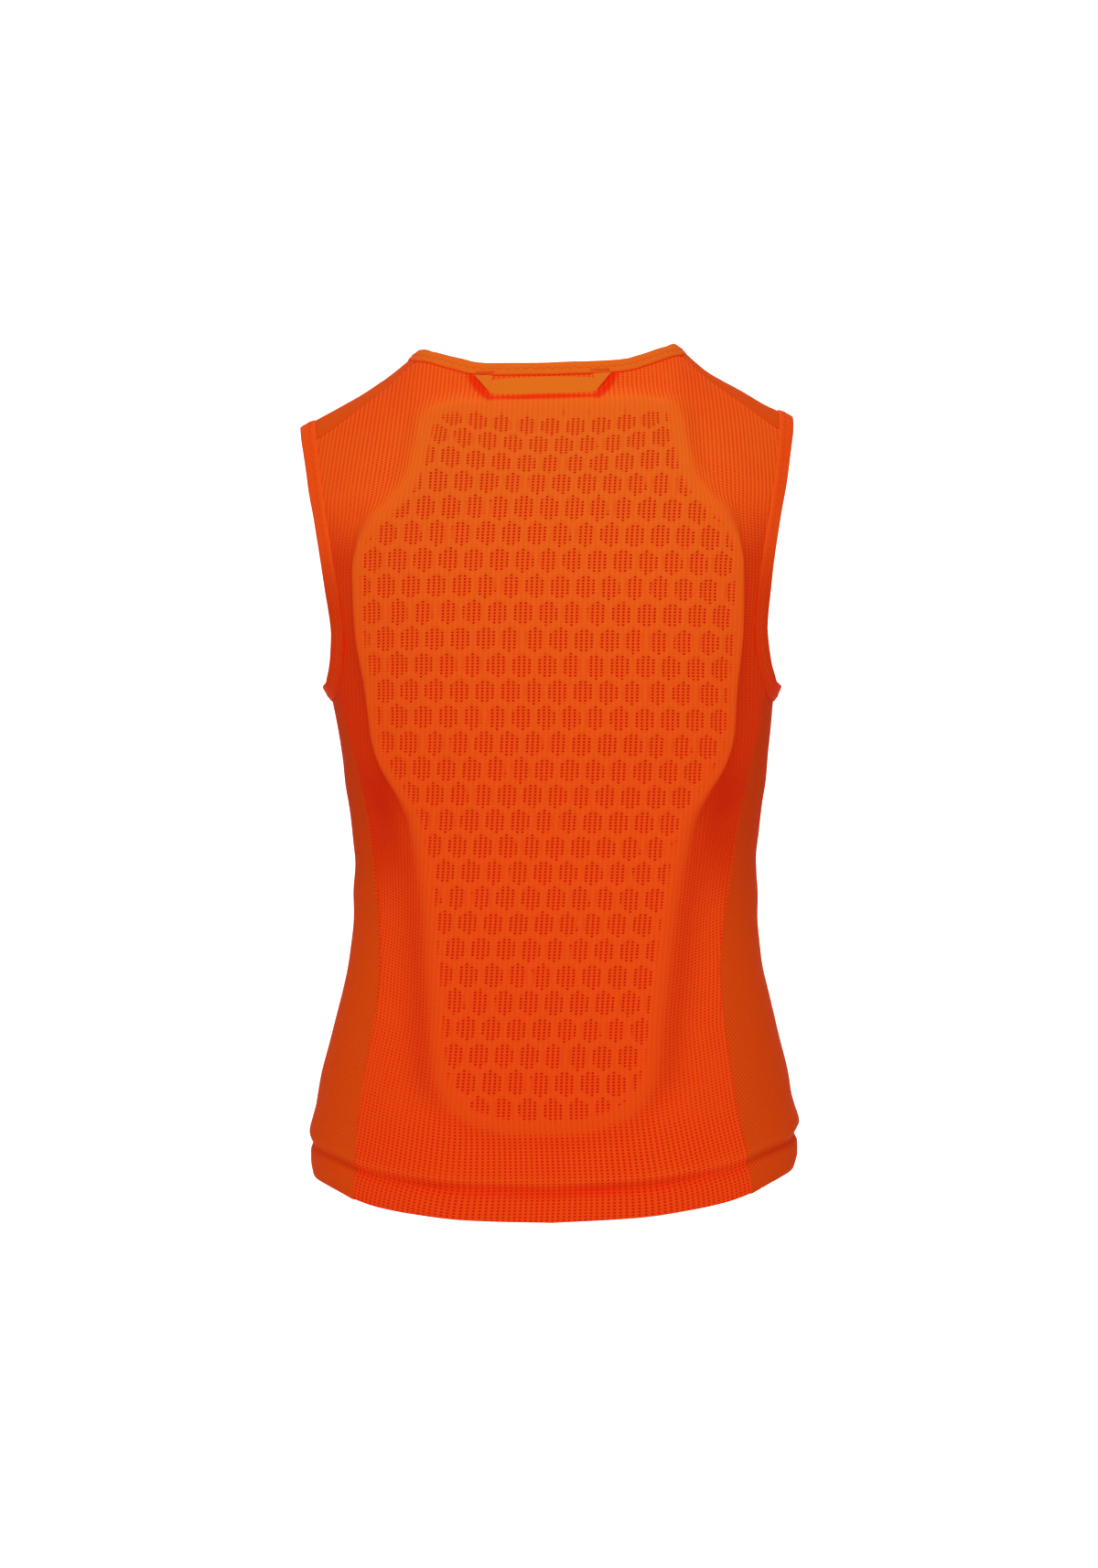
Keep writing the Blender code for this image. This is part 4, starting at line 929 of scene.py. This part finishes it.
def knit_place(spots, x, z):
    """Column and row of the mesh's pinholes, as the cloth is pulled over the body."""
    heights = np.arange(-650.0, 20.0)
    counted = np.cumsum(1 / KNIT.read("rows", heights))
    ax = np.abs(x)
    beside = ax - PAD_OUTLINE.read("half", np.clip(z, -510, -75))
    t = np.clip((beside + 25) / 50, 0, 1)
    rise = 0.3 * (50 * (t ** 3 - t ** 4 / 2) + np.maximum(beside - 25, 0))
    sag = 1.0 - 1.6 * smooth(z, -280, -160)
    row = np.interp(z - sag * rise, heights, counted)
    steps = np.hypot(np.diff(spots[..., 0], axis=1), np.diff(spots[..., 1], axis=1))
    girth = np.hstack([np.zeros((len(x), 1)), np.cumsum(steps, axis=1)])
    middle = int(np.argmin(ax[0]))
    girth = girth - girth[:, middle:middle + 1] + x[:, middle:middle + 1]
    outer = np.maximum(smooth(beside, -5, 35), 1 - smooth(z, *ABOVE_HEM))
    share = 1 + (KNIT.read("share", z) - 1) * outer
    # Over the shoulders the files stay nearly upright, as seen from behind.
    reach = np.arange(200.0)
    closer = np.cumsum(0.12 * smooth(reach, 30, 90) + 0.13 * smooth(reach, 122, 150))
    upright = ax + np.interp(ax, reach, closer)
    upright = upright + 0.105 * (z + 110) * smooth(z, -150, -90) * smooth(ax, 20, 140)
    over = smooth(z, *UPRIGHT_FILES) * smooth(beside, -12 - 48 * smooth(z, -85, -45), 10)
    # Beside the pad's foot they are closer again, and fan out to the hem.
    closer = np.cumsum(0.15 * smooth(reach, 60, 100))
    foot = np.interp(ax, reach, closer) * (1 - smooth(z, *ABOVE_FOOT))
    foot = foot + 0.13 * np.minimum(z + 475, 0) * smooth(ax, 25, 150)
    column = girth / share * (1 - over) + np.sign(x) * (upright * over + foot)
    return (column - KNIT_LEAN * z) / KNIT_STEP[0], row


# ---- cloth ----
ROOT, PULL = "vest", "pull"


def finish_piece(piece, slot, *nodes):
    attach(piece, ROOT)
    if nodes:
        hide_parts(*nodes)
    return piece


def rim_of(*distances):
    return np.clip(np.minimum.reduce(distances), 0.0, FAR)


def panel(name, hand, outer, inner, material, attributes):
    """A shell that is worked out for the right and mirrored for the left."""
    return shell(name, mirrored(outer, hand), mirrored(inner, hand), material, attributes)


def back_panel(material):
    columns, rows = 200, 320
    x, z = fan(BACK, np.linspace(-1, 1, columns + 1), back_spaced(rows))
    lift, ramp, field, across, down = back_lift(x, z)
    spots, normals = on_body(BACK, x, z)
    outer = spots + normals * lift[..., None]
    plain = (ramp * pad_rise(z) + creases(BACK_CREASES, x, z) * (1 - ramp)
             + hem_lift(BACK, x, z) * 0.3)
    inner = spots + normals * (plain - CLOTH_WALL - WELL_DEPTH * ramp)[..., None]
    ax = np.abs(x)
    arm, side, top = seam_distances(BACK, x, z)
    by_neck = ax < YOKE_NECK[BACK] + 2
    neck = np.where(by_neck, top, FAR)
    rim = rim_of(arm, neck, np.where(by_neck, FAR, top * 0.9), side)
    # Painted shadow shows along the seam at the neck, and along the armhole in two short stretches.
    gaps = sum(1 - smooth(np.abs(z - level), 8, 12) for level in ARMHOLE_SEAM_SHOWS)
    strength = np.where(neck < 6, 1.0, 0.0) + np.where(arm < 6, 0.06 + 0.94 * gaps, 0.0)
    # Painted shade on the flanks below the armholes and beside the pad's lower sides.
    flank = smooth(ax, 88, 122) * band(z, *FLANK_SHADE) * (1 - ramp)
    beside = bell(field + 17, 11.0) * band(z, *PAD_SIDE_SHADE)
    shade = np.clip(0.68 * flank + 0.30 * beside, 0, 1)
    # Painted red shade in the hem's groove and round the hanger loop, and a painted highlight on the
    # hem's ridge.
    above = z - hem_line(BACK, x) - HEM_TURN
    groove = bell(above + 1.0, 3.6) * (0.75 + 0.45 * bell(x - 12, 60))
    red_shade = np.clip(0.50 * groove + creases(LOOP_SHADE, x, z), 0, 1)
    tone = back_tone(z, shade, red_shade - 0.24 * bell(above - 6.5, 2.6))
    # The light falls on the slope above the pad and on the shoulders, and from the right.
    slope = bell(field + 9, 8.0) * smooth(z, *LIT_SLOPE)
    tone[..., :3] *= (1 + 0.20 * slope)[..., None]
    tone[..., 0] *= 1 + 0.20 * (1 - ramp) * smooth(z, *LIT_SHOULDERS) + 0.0003 * x
    tone[..., 1:3] *= (1 + 0.0004 * x)[..., None]
    column, row = knit_place(spots, x, z)
    # How strongly the pinholes show their painted shade: more towards the hem's foot, less on its
    # ridge.
    open_cloth = 0.90 + 0.08 * np.sin(x / 31.0 + z / 47.0) + 0.5 * (1 - smooth(z, *OPEN_HEM))
    open_cloth = open_cloth * (1 - 0.35 * bell(above - 7, 8.0))
    piece = shell("back_mesh_panel", outer, inner, material, {
        "knit": xyz(column, row, rim), "cell": xyz(across, down, field),
        "extra": xyz(np.clip(strength, 0, 1), open_cloth, 0.0), "tone": tone}, coarse=2)
    return finish_piece(piece, "mesh", "back_panel")


def front_panel(hand, name, node, material):
    columns, rows = 84, 200
    near = ZIP_HALF_WIDTH + SEAM_GAP / 2
    x, z = fan(FRONT, np.linspace(0, 1, columns + 1), hem_spaced(rows), near)
    x = np.maximum(x, near)
    across = x if hand > 0 else 1.12 * x - 8
    folds = creases(FRONT_CREASES, across, z + 9 * hand) * smooth(x, 4, 22)
    spots, normals = on_body(FRONT, x, z)
    outer = spots + normals * (hem_lift(FRONT, hand * x, z) + 1.4 * folds)[..., None]
    arm, side, top = seam_distances(FRONT, x, z)
    rim = rim_of(arm, top, side, x - near + 0.4)
    # Strength of the painted shadow where the panel runs under a binding.
    strength = np.where(side < 6, 0.18, 0.55)
    # Painted red shade in the hem's groove.
    groove = bell(z - hem_line(FRONT, x) - HEM_TURN, 3.2)
    column, row = knit_place(spots, x, z)
    piece = panel(name, hand, outer, outer - normals * CLOTH_WALL, material, {
        "knit": xyz(column * hand, row, rim), "extra": xyz(strength, 0.6, 0.0),
        "tone": back_tone(z, 0 * z, 0.3 * groove)})
    return finish_piece(piece, "mesh", node)


def side_panel(hand, name, node, material):
    columns, rows = 44, 170
    share = np.linspace(0, 1, columns + 1)

    def angle_at(z):
        low, high = (flank_angle(side, SIDE_SEAM.read(SIDE_NAME[side], z) + SEAM_GAP / 2, z)
                     for side in (BACK, FRONT))
        return low + (high - low) * share

    top = UNDERARM[1] - underarm_dip(share) - SEAM_GAP
    foot = flank_point(angle_at(np.full_like(share, HEM_LEVEL)), HEM_LEVEL)
    bottom = np.where(foot[:, 1] < 0, hem_line(BACK, foot[:, 0]), hem_line(FRONT, foot[:, 0]))
    z = bottom + (top - bottom) * hem_spaced(rows, length=330.0)[:, None]
    spots, normals = on_flank(angle_at(z), z)
    x, y = spots[..., 0], spots[..., 1]
    to_front = smooth(y, -25.0, 25.0)
    lift = hem_lift(BACK, hand * x, z) * (1 - to_front) + hem_lift(FRONT, hand * x, z) * to_front
    edge = smooth(np.minimum(share, 1 - share), 0.0, 0.12)
    lift = lift + creases(SIDE_CREASES, y * hand, z) * edge
    outer = spots + normals * lift[..., None]
    inner = outer - normals * CLOTH_WALL
    # The seam allowance goes on under the panels beside it.
    inner[:, [0, -1]] += 0.15 * (inner[:, [0, -1]] - inner[:, [1, -2]])
    rim = rim_of(top - z, share * 100 + 0.3 + 0 * z, (1 - share) * 100 + 0.3 + 0 * z)
    # Painted red shade in the hem's groove and a painted highlight on its ridge; painted shade
    # deepens up the panel towards the underarm.
    above = z - bottom - HEM_TURN
    red_shade = 0.4 * bell(above, 3.4) - 0.2 * bell(above - 7, 2.6)
    # The first extra value is the strength of the painted shadow where the panel runs under a
    # binding.
    piece = panel(name, hand, outer, inner, material, {
        "knit": xyz((y + 0.25 * z) / FINE_PITCH[0], (z - 0.1 * y) / FINE_PITCH[1], rim),
        "extra": xyz(np.where(top - z < 6, 0.6, 0.12), 0.0, 0.0),
        "tone": shaded(SIDE_TONE, 0.05 + 0.38 * smooth(z, -440, -310), red_shade)})
    return finish_piece(piece, "side_mesh", node)


def shoulder_yoke(hand, name, node, material):
    columns, rows = 40, 44
    t = np.linspace(-1, 1, rows + 1)[:, None]
    near, far = yoke_end(YOKE_NECK, t) + SEAM_GAP / 2, yoke_end(YOKE_ARM, t) - SEAM_GAP / 2
    x = near + (far - near) * np.linspace(0, 1, columns + 1)
    spots, normals = on_shoulder(x, yoke_angle(t, x) - 0.002 * t)
    wrinkle = 0.35 * np.sin(x / 7.0 + 2.2 * t + hand) * (1 - t ** 2)
    outer = spots + normals * wrinkle[..., None]
    rim = rim_of(np.minimum(x - near, far - x) + 0.3, (1 - np.abs(t)) * 45 + 0 * x)
    # The first extra value is the strength of the painted shadow where the yoke runs under a
    # binding.
    piece = panel(name, hand, outer, outer - normals * CLOTH_WALL, material, {
        "knit": xyz(x, spots[..., 1], rim), "extra": xyz(0.45 + 0 * x, 0.0, 0.0),
        "tone": shaded(YOKE_TONE, 0 * x)})
    return finish_piece(piece, "yoke_knit", node)


# ---- bindings ----
def binding_profile(width, along):
    """Cross-sections of a folded elastic, drawn in a little at each stitch."""
    near, middle = SEAM_GAP / 2, width / 2
    shape = np.array([(near, -2.0), (near, 0.25), (0.9, 0.85), (2.6, 1.05), (middle, 1.15),
                      (width - 2.6, 1.05), (width - 1.0, 0.75), (width - 0.25, 0.1),
                      (width, -0.55), (width - 0.25, -1.2), (width - 1.0, -1.8),
                      (middle, -2.2), (2.6, -2.25)])
    result = np.broadcast_to(shape, (len(along),) + shape.shape).copy()
    pull = 0.5 - 0.5 * np.cos(along * np.pi / STITCH_LENGTH)
    wander = 0.25 * np.sin(along / 17.0) + 0.15 * np.sin(along / 6.3 + 1.0)
    outer = shape[:, 0] > width * 0.4
    result[:, outer, 0] += (wander * 0.8)[:, None]
    stitched = (shape[:, 0] > 2) & (shape[:, 0] < width - 2) & (shape[:, 1] > 0)
    result[:, stitched, 1] -= (0.14 * pull)[:, None]
    return result


def sideways_of(tangent, normals, toward):
    across = unit(np.cross(tangent, normals))
    across[(across * toward).sum(axis=1) < 0] *= -1
    return across


def refined(parts, count, closed=False):
    """Evenly spaced spots and normals along a line made of parts, each (spots, normals)."""
    both = np.hstack([np.vstack([spots for spots, _ in parts]),
                      np.vstack([normals for _, normals in parts]) * 1e-6])
    if closed:
        both = resampled(np.vstack([both, both[:1]]), count)[:-1]
    else:
        both = resampled(both, count)
    return both[:, :3], unit(both[:, 3:])


def yoke_end_spots(ends, steps=24):
    t = np.linspace(-1, 1, steps + 1)[1:-1]
    x = yoke_end(ends, t)
    return on_shoulder(x, yoke_angle(t, x))


def on_seam(side, seam):
    return on_body(side, seam[:, 0], seam[:, 1])


def zigzag(spots, normals, sideways, along, middle):
    """Runs of thread that cross the binding to and fro."""
    count = int(along[-1] / STITCH_LENGTH)
    places = np.linspace(0, along[-1], count * 4 + 1)
    swing = np.abs((places / along[-1] * count % 2) - 1) * 2 - 1
    point, out, side = (read_along(line, along, places) for line in (spots, normals, sideways))
    out = unit(out)
    across = middle + swing * STITCH_WIDTH / 2
    line = point + unit(side) * across[:, None] + out * STITCH_LIFT
    return [(line[k * 4:k * 4 + 5], out[k * 4:k * 4 + 5]) for k in range(count)]


def bound_edge(name, node, lines, width, colour, material, thread, stitch_at, closed):
    """A binding and its sewing along an edge's lines: its spots, normals and sideways."""
    spots = lines[0]
    along = along_line(spots)
    profile = binding_profile(width, along)
    even = np.ones((1, profile.shape[1]))
    # Painted shade on the armhole binding's lower stretch.
    under = 0.66 * smooth(-spots[:, 2], 125, 190)
    piece = swept(name, *lines, profile, material, {
        "knit": xyz(along[:, None] * even, profile[..., 0], 0.0),
        "tone": shaded(colour, under[:, None] * even)}, closed)
    runs = zigzag(*lines, along, stitch_at)
    sewing = finish_piece(threads(name + "_stitches", runs, thread), "binding")
    return finish_piece(piece, "binding", node), sewing, along[-1]


def neck_binding(material, thread):
    parts = [on_seam(BACK, NECK_SEAM[BACK]), yoke_end_spots(YOKE_NECK),
             on_seam(FRONT, NECK_SEAM[FRONT][::-1])]
    right = [np.vstack(lines) for lines in zip(*parts)]
    both_sides = [np.vstack([mirrored(line[:0:-1], -1), line]) for line in right]
    spots, normals = refined([both_sides], 400)
    toward = xyz(-spots[:, 0], -spots[:, 1], 60.0)
    sideways = sideways_of(np.gradient(spots, axis=0), normals, toward)
    sideways[[0, -1], 0] = 0.0
    piece, sewing, length = bound_edge(
        "neck_elastic", "neck_binding", (spots, normals, unit(sideways)), NECK_BINDING_WIDTH,
        NECK_TONE, material, thread, NECK_STITCH, closed=False)
    length * MM
    return piece


def armhole_binding(hand, name, node, material, thread):
    low, high = (float(flank_angle(side, *np.array(UNDERARM))) for side in (BACK, FRONT))
    share = np.linspace(0, 1, 33)[1:-1]
    over_spots, over_normals = yoke_end_spots(YOKE_ARM)
    parts = [on_seam(BACK, ARM_SEAM[BACK]),
             on_flank(low + (high - low) * share, UNDERARM[1] - underarm_dip(share)),
             on_seam(FRONT, ARM_SEAM[FRONT][::-1]), (over_spots[::-1], over_normals[::-1])]
    spots, normals = refined(parts, 420, closed=True)
    x, y, z = spots.T
    tangent = np.roll(spots, -1, axis=0) - np.roll(spots, 1, axis=0)
    sideways = sideways_of(tangent, normals, xyz(x, -y, ARMHOLE_MIDDLE - z))
    flare = np.clip((FLARE_START - z) / (FLARE_START - FLARE_FULL), 0, 1)
    lean = (np.radians(FLARE) * flare)[:, None]
    leaning = unit(sideways * np.cos(lean) + normals * np.sin(lean))
    lines = [mirrored(line, hand) for line in (spots, normals, leaning)]
    piece, sewing, length = bound_edge(name, node, lines, ARM_BINDING_WIDTH, ARM_TONE,
                                       material, thread, ARM_STITCH, closed=True)
    length * MM
    return piece


# ---- hanger loop ----
LOOP_THICKNESS = 1.1
LOOP_REST = 0.6
LOOP_STAND = 3.2
LOOP_LEFT, LOOP_RIGHT = -40.5, 29.5
LOOP_UPPER, LOOP_LOWER = -31.4, -43.2
LOOP_UPPER_ENDS = [(LOOP_LEFT + 0.5, -27.4), (LOOP_RIGHT - 0.5, -27.6)]
LOOP_TACKS = (-23.9, -24.9)
LOOP_LOWER_ENDS = [(LOOP_LEFT - 12.0, -26.3), (LOOP_RIGHT + 12.0, -26.9)]


def with_ends(line, ends):
    """A line carried on, in a straight run at each end, to two places."""
    t = np.linspace(0, 1, 9)[:-1, None]
    first, last = (np.array(at) * (1 - t) + near * t for at, near in zip(ends, line[[0, -1]]))
    return np.vstack([first, line, last[::-1]])


def hanger_loop(material, thread):
    """Flat tape with mitred ends that go up under the neck binding."""
    steps, high = 56, 8
    share = np.linspace(0, 1, steps + 1)
    x = LOOP_LEFT + (LOOP_RIGHT - LOOP_LEFT) * share
    stand = np.sin(np.pi * (0.12 + 0.76 * share)) ** 0.7
    upper = np.stack([x, np.full_like(x, LOOP_UPPER)], axis=1)
    lower = np.stack([x, LOOP_LOWER + 0.8 * (2 * share - 1) ** 2], axis=1)
    upper, lower = with_ends(upper, LOOP_UPPER_ENDS), with_ends(lower, LOOP_LOWER_ENDS)
    lift = with_ends(stand[:, None], [(0.0,), (0.0,)])[:, 0]
    t = np.linspace(0, 1, high + 1)[:, None]
    flat = upper * (1 - t[..., None]) + lower * t[..., None]
    spots, normals = on_body(BACK, flat[..., 0], flat[..., 1])
    height = LOOP_REST + (LOOP_STAND - LOOP_REST) * lift
    round_off = 0.22 * (2 * t - 1) ** 6
    inner = spots + normals * (height + round_off)[..., None]
    outer = spots + normals * (height + LOOP_THICKNESS - round_off)[..., None]
    piece = shell("hanger_tape", outer, inner, material, {})
    tacks = []
    for centre in (LOOP_LEFT - 4.5, LOOP_RIGHT + 4.5):
        for level in LOOP_TACKS:
            line = np.linspace(centre - 6.5, centre + 6.5, 9)
            at, out = on_body(BACK, line, level + 0.012 * (line - centre))
            tacks.append((at + out * 1.25, out))
    sewing = finish_piece(threads("loop_tacks", tacks, thread, radius=0.26), "binding")
    return finish_piece(piece, "loop_tape", "hanger_loop")


# ---- protector ----
FOAM_FOOT, FOAM_TOP = -547.0, -47.5
FOAM_INSET = 0.6
INNER_WELL_DEPTH = 3.0


def protector(material):
    """Soft foam plate under the mesh, with hexagonal wells in its inner face."""
    columns, rows = 120, 220
    z_low, z_high = FOAM_FOOT + PAD_EDGE, FOAM_TOP - PAD_EDGE
    t = np.linspace(0, 1, rows + 1)[:, None]
    share = np.linspace(-1, 1, columns + 1)
    z = z_low + (z_high - z_low) * t + 0 * share
    half = PAD_OUTLINE.read("half", z + np.where(z < -500, -2.0, 3.0)) - PAD_EDGE - 0.5
    half = half * np.minimum(1.0, 0.55 + 0.45 * smooth(z_high - z, 0, 9))
    x = share * half
    inside = np.clip(pad_depth(x, z) - PAD_EDGE, 0, 20)
    norm = cell_norm(*cell_place(x, z))
    well = (1 - smooth(norm, 0.78, 1.0)) * smooth(inside, 2.0, 5.0)
    edge = np.minimum(1 - np.abs(share), np.minimum(t, 1 - t) * 2.2)
    soft = 1.6 * (1 - smooth(edge, 0.0, 0.05)) ** 2
    spots, normals = on_body(BACK, x, z)
    face = pad_rise(z) - PAD_WALL - SEAM_GAP - FOAM_INSET
    outer = spots + normals * (face - WELL_DEPTH - soft)[..., None]
    back = face - PAD_THICKNESS + FOAM_INSET + INNER_WELL_DEPTH * well + soft
    inner = spots + normals * back[..., None]
    piece = shell("foam_protector", outer, inner, material, {})
    return finish_piece(piece, "foam", "back_protector")


# ---- zip ----
ZIP_TOP = -75.5
COIL_PITCH = 1.45
COIL_RADIUS = 0.34
SIDEWAYS = np.array([1.0, 0.0, 0.0])


def zip_line(count):
    bottom = float(hem_line(FRONT, np.array(0.0))) + 1.0
    z = ZIP_TOP + (bottom - ZIP_TOP) * np.linspace(0, 1, count)
    spots, normals = on_body(FRONT, np.zeros(count), z)
    return spots + normals * hem_lift(FRONT, np.zeros(count), z)[:, None], normals


def coil_runs(spots, normals, count):
    """The coil's turns, to the left and the right by turns."""
    point = resampled(spots, count)
    out = unit(resampled(normals, count))
    down = unit(np.gradient(point, axis=0))
    turn = np.linspace(0, 1, 7)[:, None]
    rise = 0.1 + 0.55 * np.sin(np.pi * np.clip(turn * 1.15, 0, 1))
    runs = []
    for k in range(count):
        reach = (1 if k % 2 else -1) * (-0.55 + 2.0 * turn)
        line = point[k] + SIDEWAYS * reach + out[k] * rise + down[k] * (turn - 0.5) * 0.35
        runs.append((line, np.repeat(out[k][None], len(turn), axis=0)))
    return runs


def zip_tape(tape, coil):
    """Two woven tapes with the closed coil along their middle."""
    spots, normals = zip_line(260)
    wide = ZIP_HALF_WIDTH
    right = [(0.25, -0.3), (1.9, -0.25), (wide, -0.35), (wide, -1.6)]
    profile = np.array([(-across, out) for across, out in right[::-1]] + right)
    along = along_line(spots)
    even = np.ones((len(spots), len(profile)))
    piece = swept("zip_tapes", spots, normals, np.tile(SIDEWAYS, (len(spots), 1)), profile, tape, {
        "knit": xyz(along[:, None] * even, profile[:, 0], 0.0),
        "tone": shaded(ZIP_TONE, 0 * even)}, closed=False)
    length = float(along[-1])
    runs = coil_runs(spots, normals, int(length / COIL_PITCH))
    teeth = finish_piece(threads("zip_teeth", runs, coil, radius=COIL_RADIUS), "zip_coil")
    return finish_piece(piece, "zip_coil", "zip_tape")


def rounded_copy(name, node, body, material, width):
    """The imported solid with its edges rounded."""
    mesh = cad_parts[node].data.copy()
    mesh.name = name
    mesh.materials.clear()
    mesh.materials.append(material)
    work = bmesh.new()
    work.from_mesh(mesh)
    bmesh.ops.remove_doubles(work, verts=work.verts, dist=1e-5)
    bmesh.ops.dissolve_limit(work, angle_limit=math.radians(2), verts=work.verts,
                             edges=work.edges)
    work.to_mesh(mesh)
    work.free()
    piece = new_object(name, mesh)
    bevel = piece.modifiers.new("rounding", "BEVEL")
    bevel.width = width * MM
    bevel.segments = 3
    bevel.limit_method = "ANGLE"
    bevel.angle_limit = math.radians(25)
    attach(piece, body)
    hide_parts(node)
    return piece


# ---- stage, light and camera ----
FLOOR_LEVEL = -0.95
STAGE_GLOW = 0.35


def stage():
    """A pale floor that sweeps up behind the vest."""
    near, depth, high, radius, half = -4.5, 3.2, 2.4, 1.0, 3.2
    turn = np.linspace(0, math.pi / 2, 17)
    profile = [(near, FLOOR_LEVEL)]
    profile += [(depth - radius + radius * math.sin(a), FLOOR_LEVEL + radius * (1 - math.cos(a)))
                for a in turn]
    profile += [(depth, high)]
    points = [(x, y, z) for y, z in profile for x in (-half, half)]
    faces = [(2 * i, 2 * i + 1, 2 * i + 3, 2 * i + 2) for i in range(len(profile) - 1)]
    mesh = bpy.data.meshes.new("floor")
    mesh.from_pydata(points, [], faces)
    mesh.polygons.foreach_set("use_smooth", [True] * len(mesh.polygons))
    g = Graph("floor", roughness=0.9, glow=STAGE_GLOW, specular=0.5, glow_colour=WHITE)
    mesh.materials.append(g.finish((0.85, 0.85, 0.85)))
    new_object("floor", mesh)


def area_light(name, place_at, target, size, power):
    data = bpy.data.lights.new(name, "AREA")
    data.shape = "DISK"
    data.size = size
    data.energy = power
    light = new_object(name, data)
    light.location = place_at
    light.rotation_euler = (Vector(target) - Vector(place_at)).to_track_quat("-Z", "Y").to_euler()


def lights():
    area_light("key", (-0.10, -1.45, 1.00), (0.0, 0.0, -0.3), 0.8, 30.0)
    area_light("backdrop", (0.0, 1.2, 1.6), (0.0, 3.2, -0.4), 1.0, 60.0)
    world = bpy.data.worlds.new("studio")
    world.use_nodes = True
    background = world.node_tree.nodes["Background"]
    background.inputs["Color"].default_value = (1.0, 1.0, 1.0, 1.0)
    background.inputs["Strength"].default_value = 0.3
    bpy.context.scene.world = world
    bpy.context.scene.view_settings.view_transform = "Standard"


def camera():
    """The photograph's view: level, square to the back, 0.65 mm to a pixel at the middle."""
    data = bpy.data.cameras.new("camera")
    data.sensor_width = 36.0
    data.lens = data.sensor_width * -EYE.y / (PHOTO_SIZE[1] * PIXEL)
    eye = new_object("camera", data)
    eye.location = EYE
    eye.rotation_euler = (math.pi / 2, 0.0, 0.0)
    bpy.context.scene.camera = eye


# ---- the vest ----
def main():
    camera()
    front_mesh, side_mesh, yoke_knit = plain_mesh_material(), side_material(), knit_material()
    binding = binding_material()
    neck_thread = thread_material("neck_thread", (0.30, 0.085, 0.009))
    arm_thread = thread_material("arm_thread", (0.29, 0.060, 0.007))
    back_panel(mesh_material())
    for hand, side in ((-1, "left"), (1, "right")):
        shoulder_yoke(hand, "shoulder_knit_" + side, "shoulder_yoke_" + side, yoke_knit)
        side_panel(hand, "side_mesh_" + side, "side_panel_" + side, side_mesh)
        front_panel(hand, "front_mesh_" + side, "front_" + side, front_mesh)
        armhole_binding(hand, "armhole_elastic_" + side, "armhole_binding_" + side, binding,
                        arm_thread)
    neck_binding(binding, neck_thread)
    hanger_loop(tape_material(), neck_thread)
    protector(foam_material())
    zip_tape(knit_material(), coil_material())
    metal = metal_material()
    rounded_copy("slider", "zip_slider", ROOT, metal, 0.25)
    rounded_copy("pull_tab", "zip_pull", PULL, metal, 0.25)
    stage()
    lights()


main()
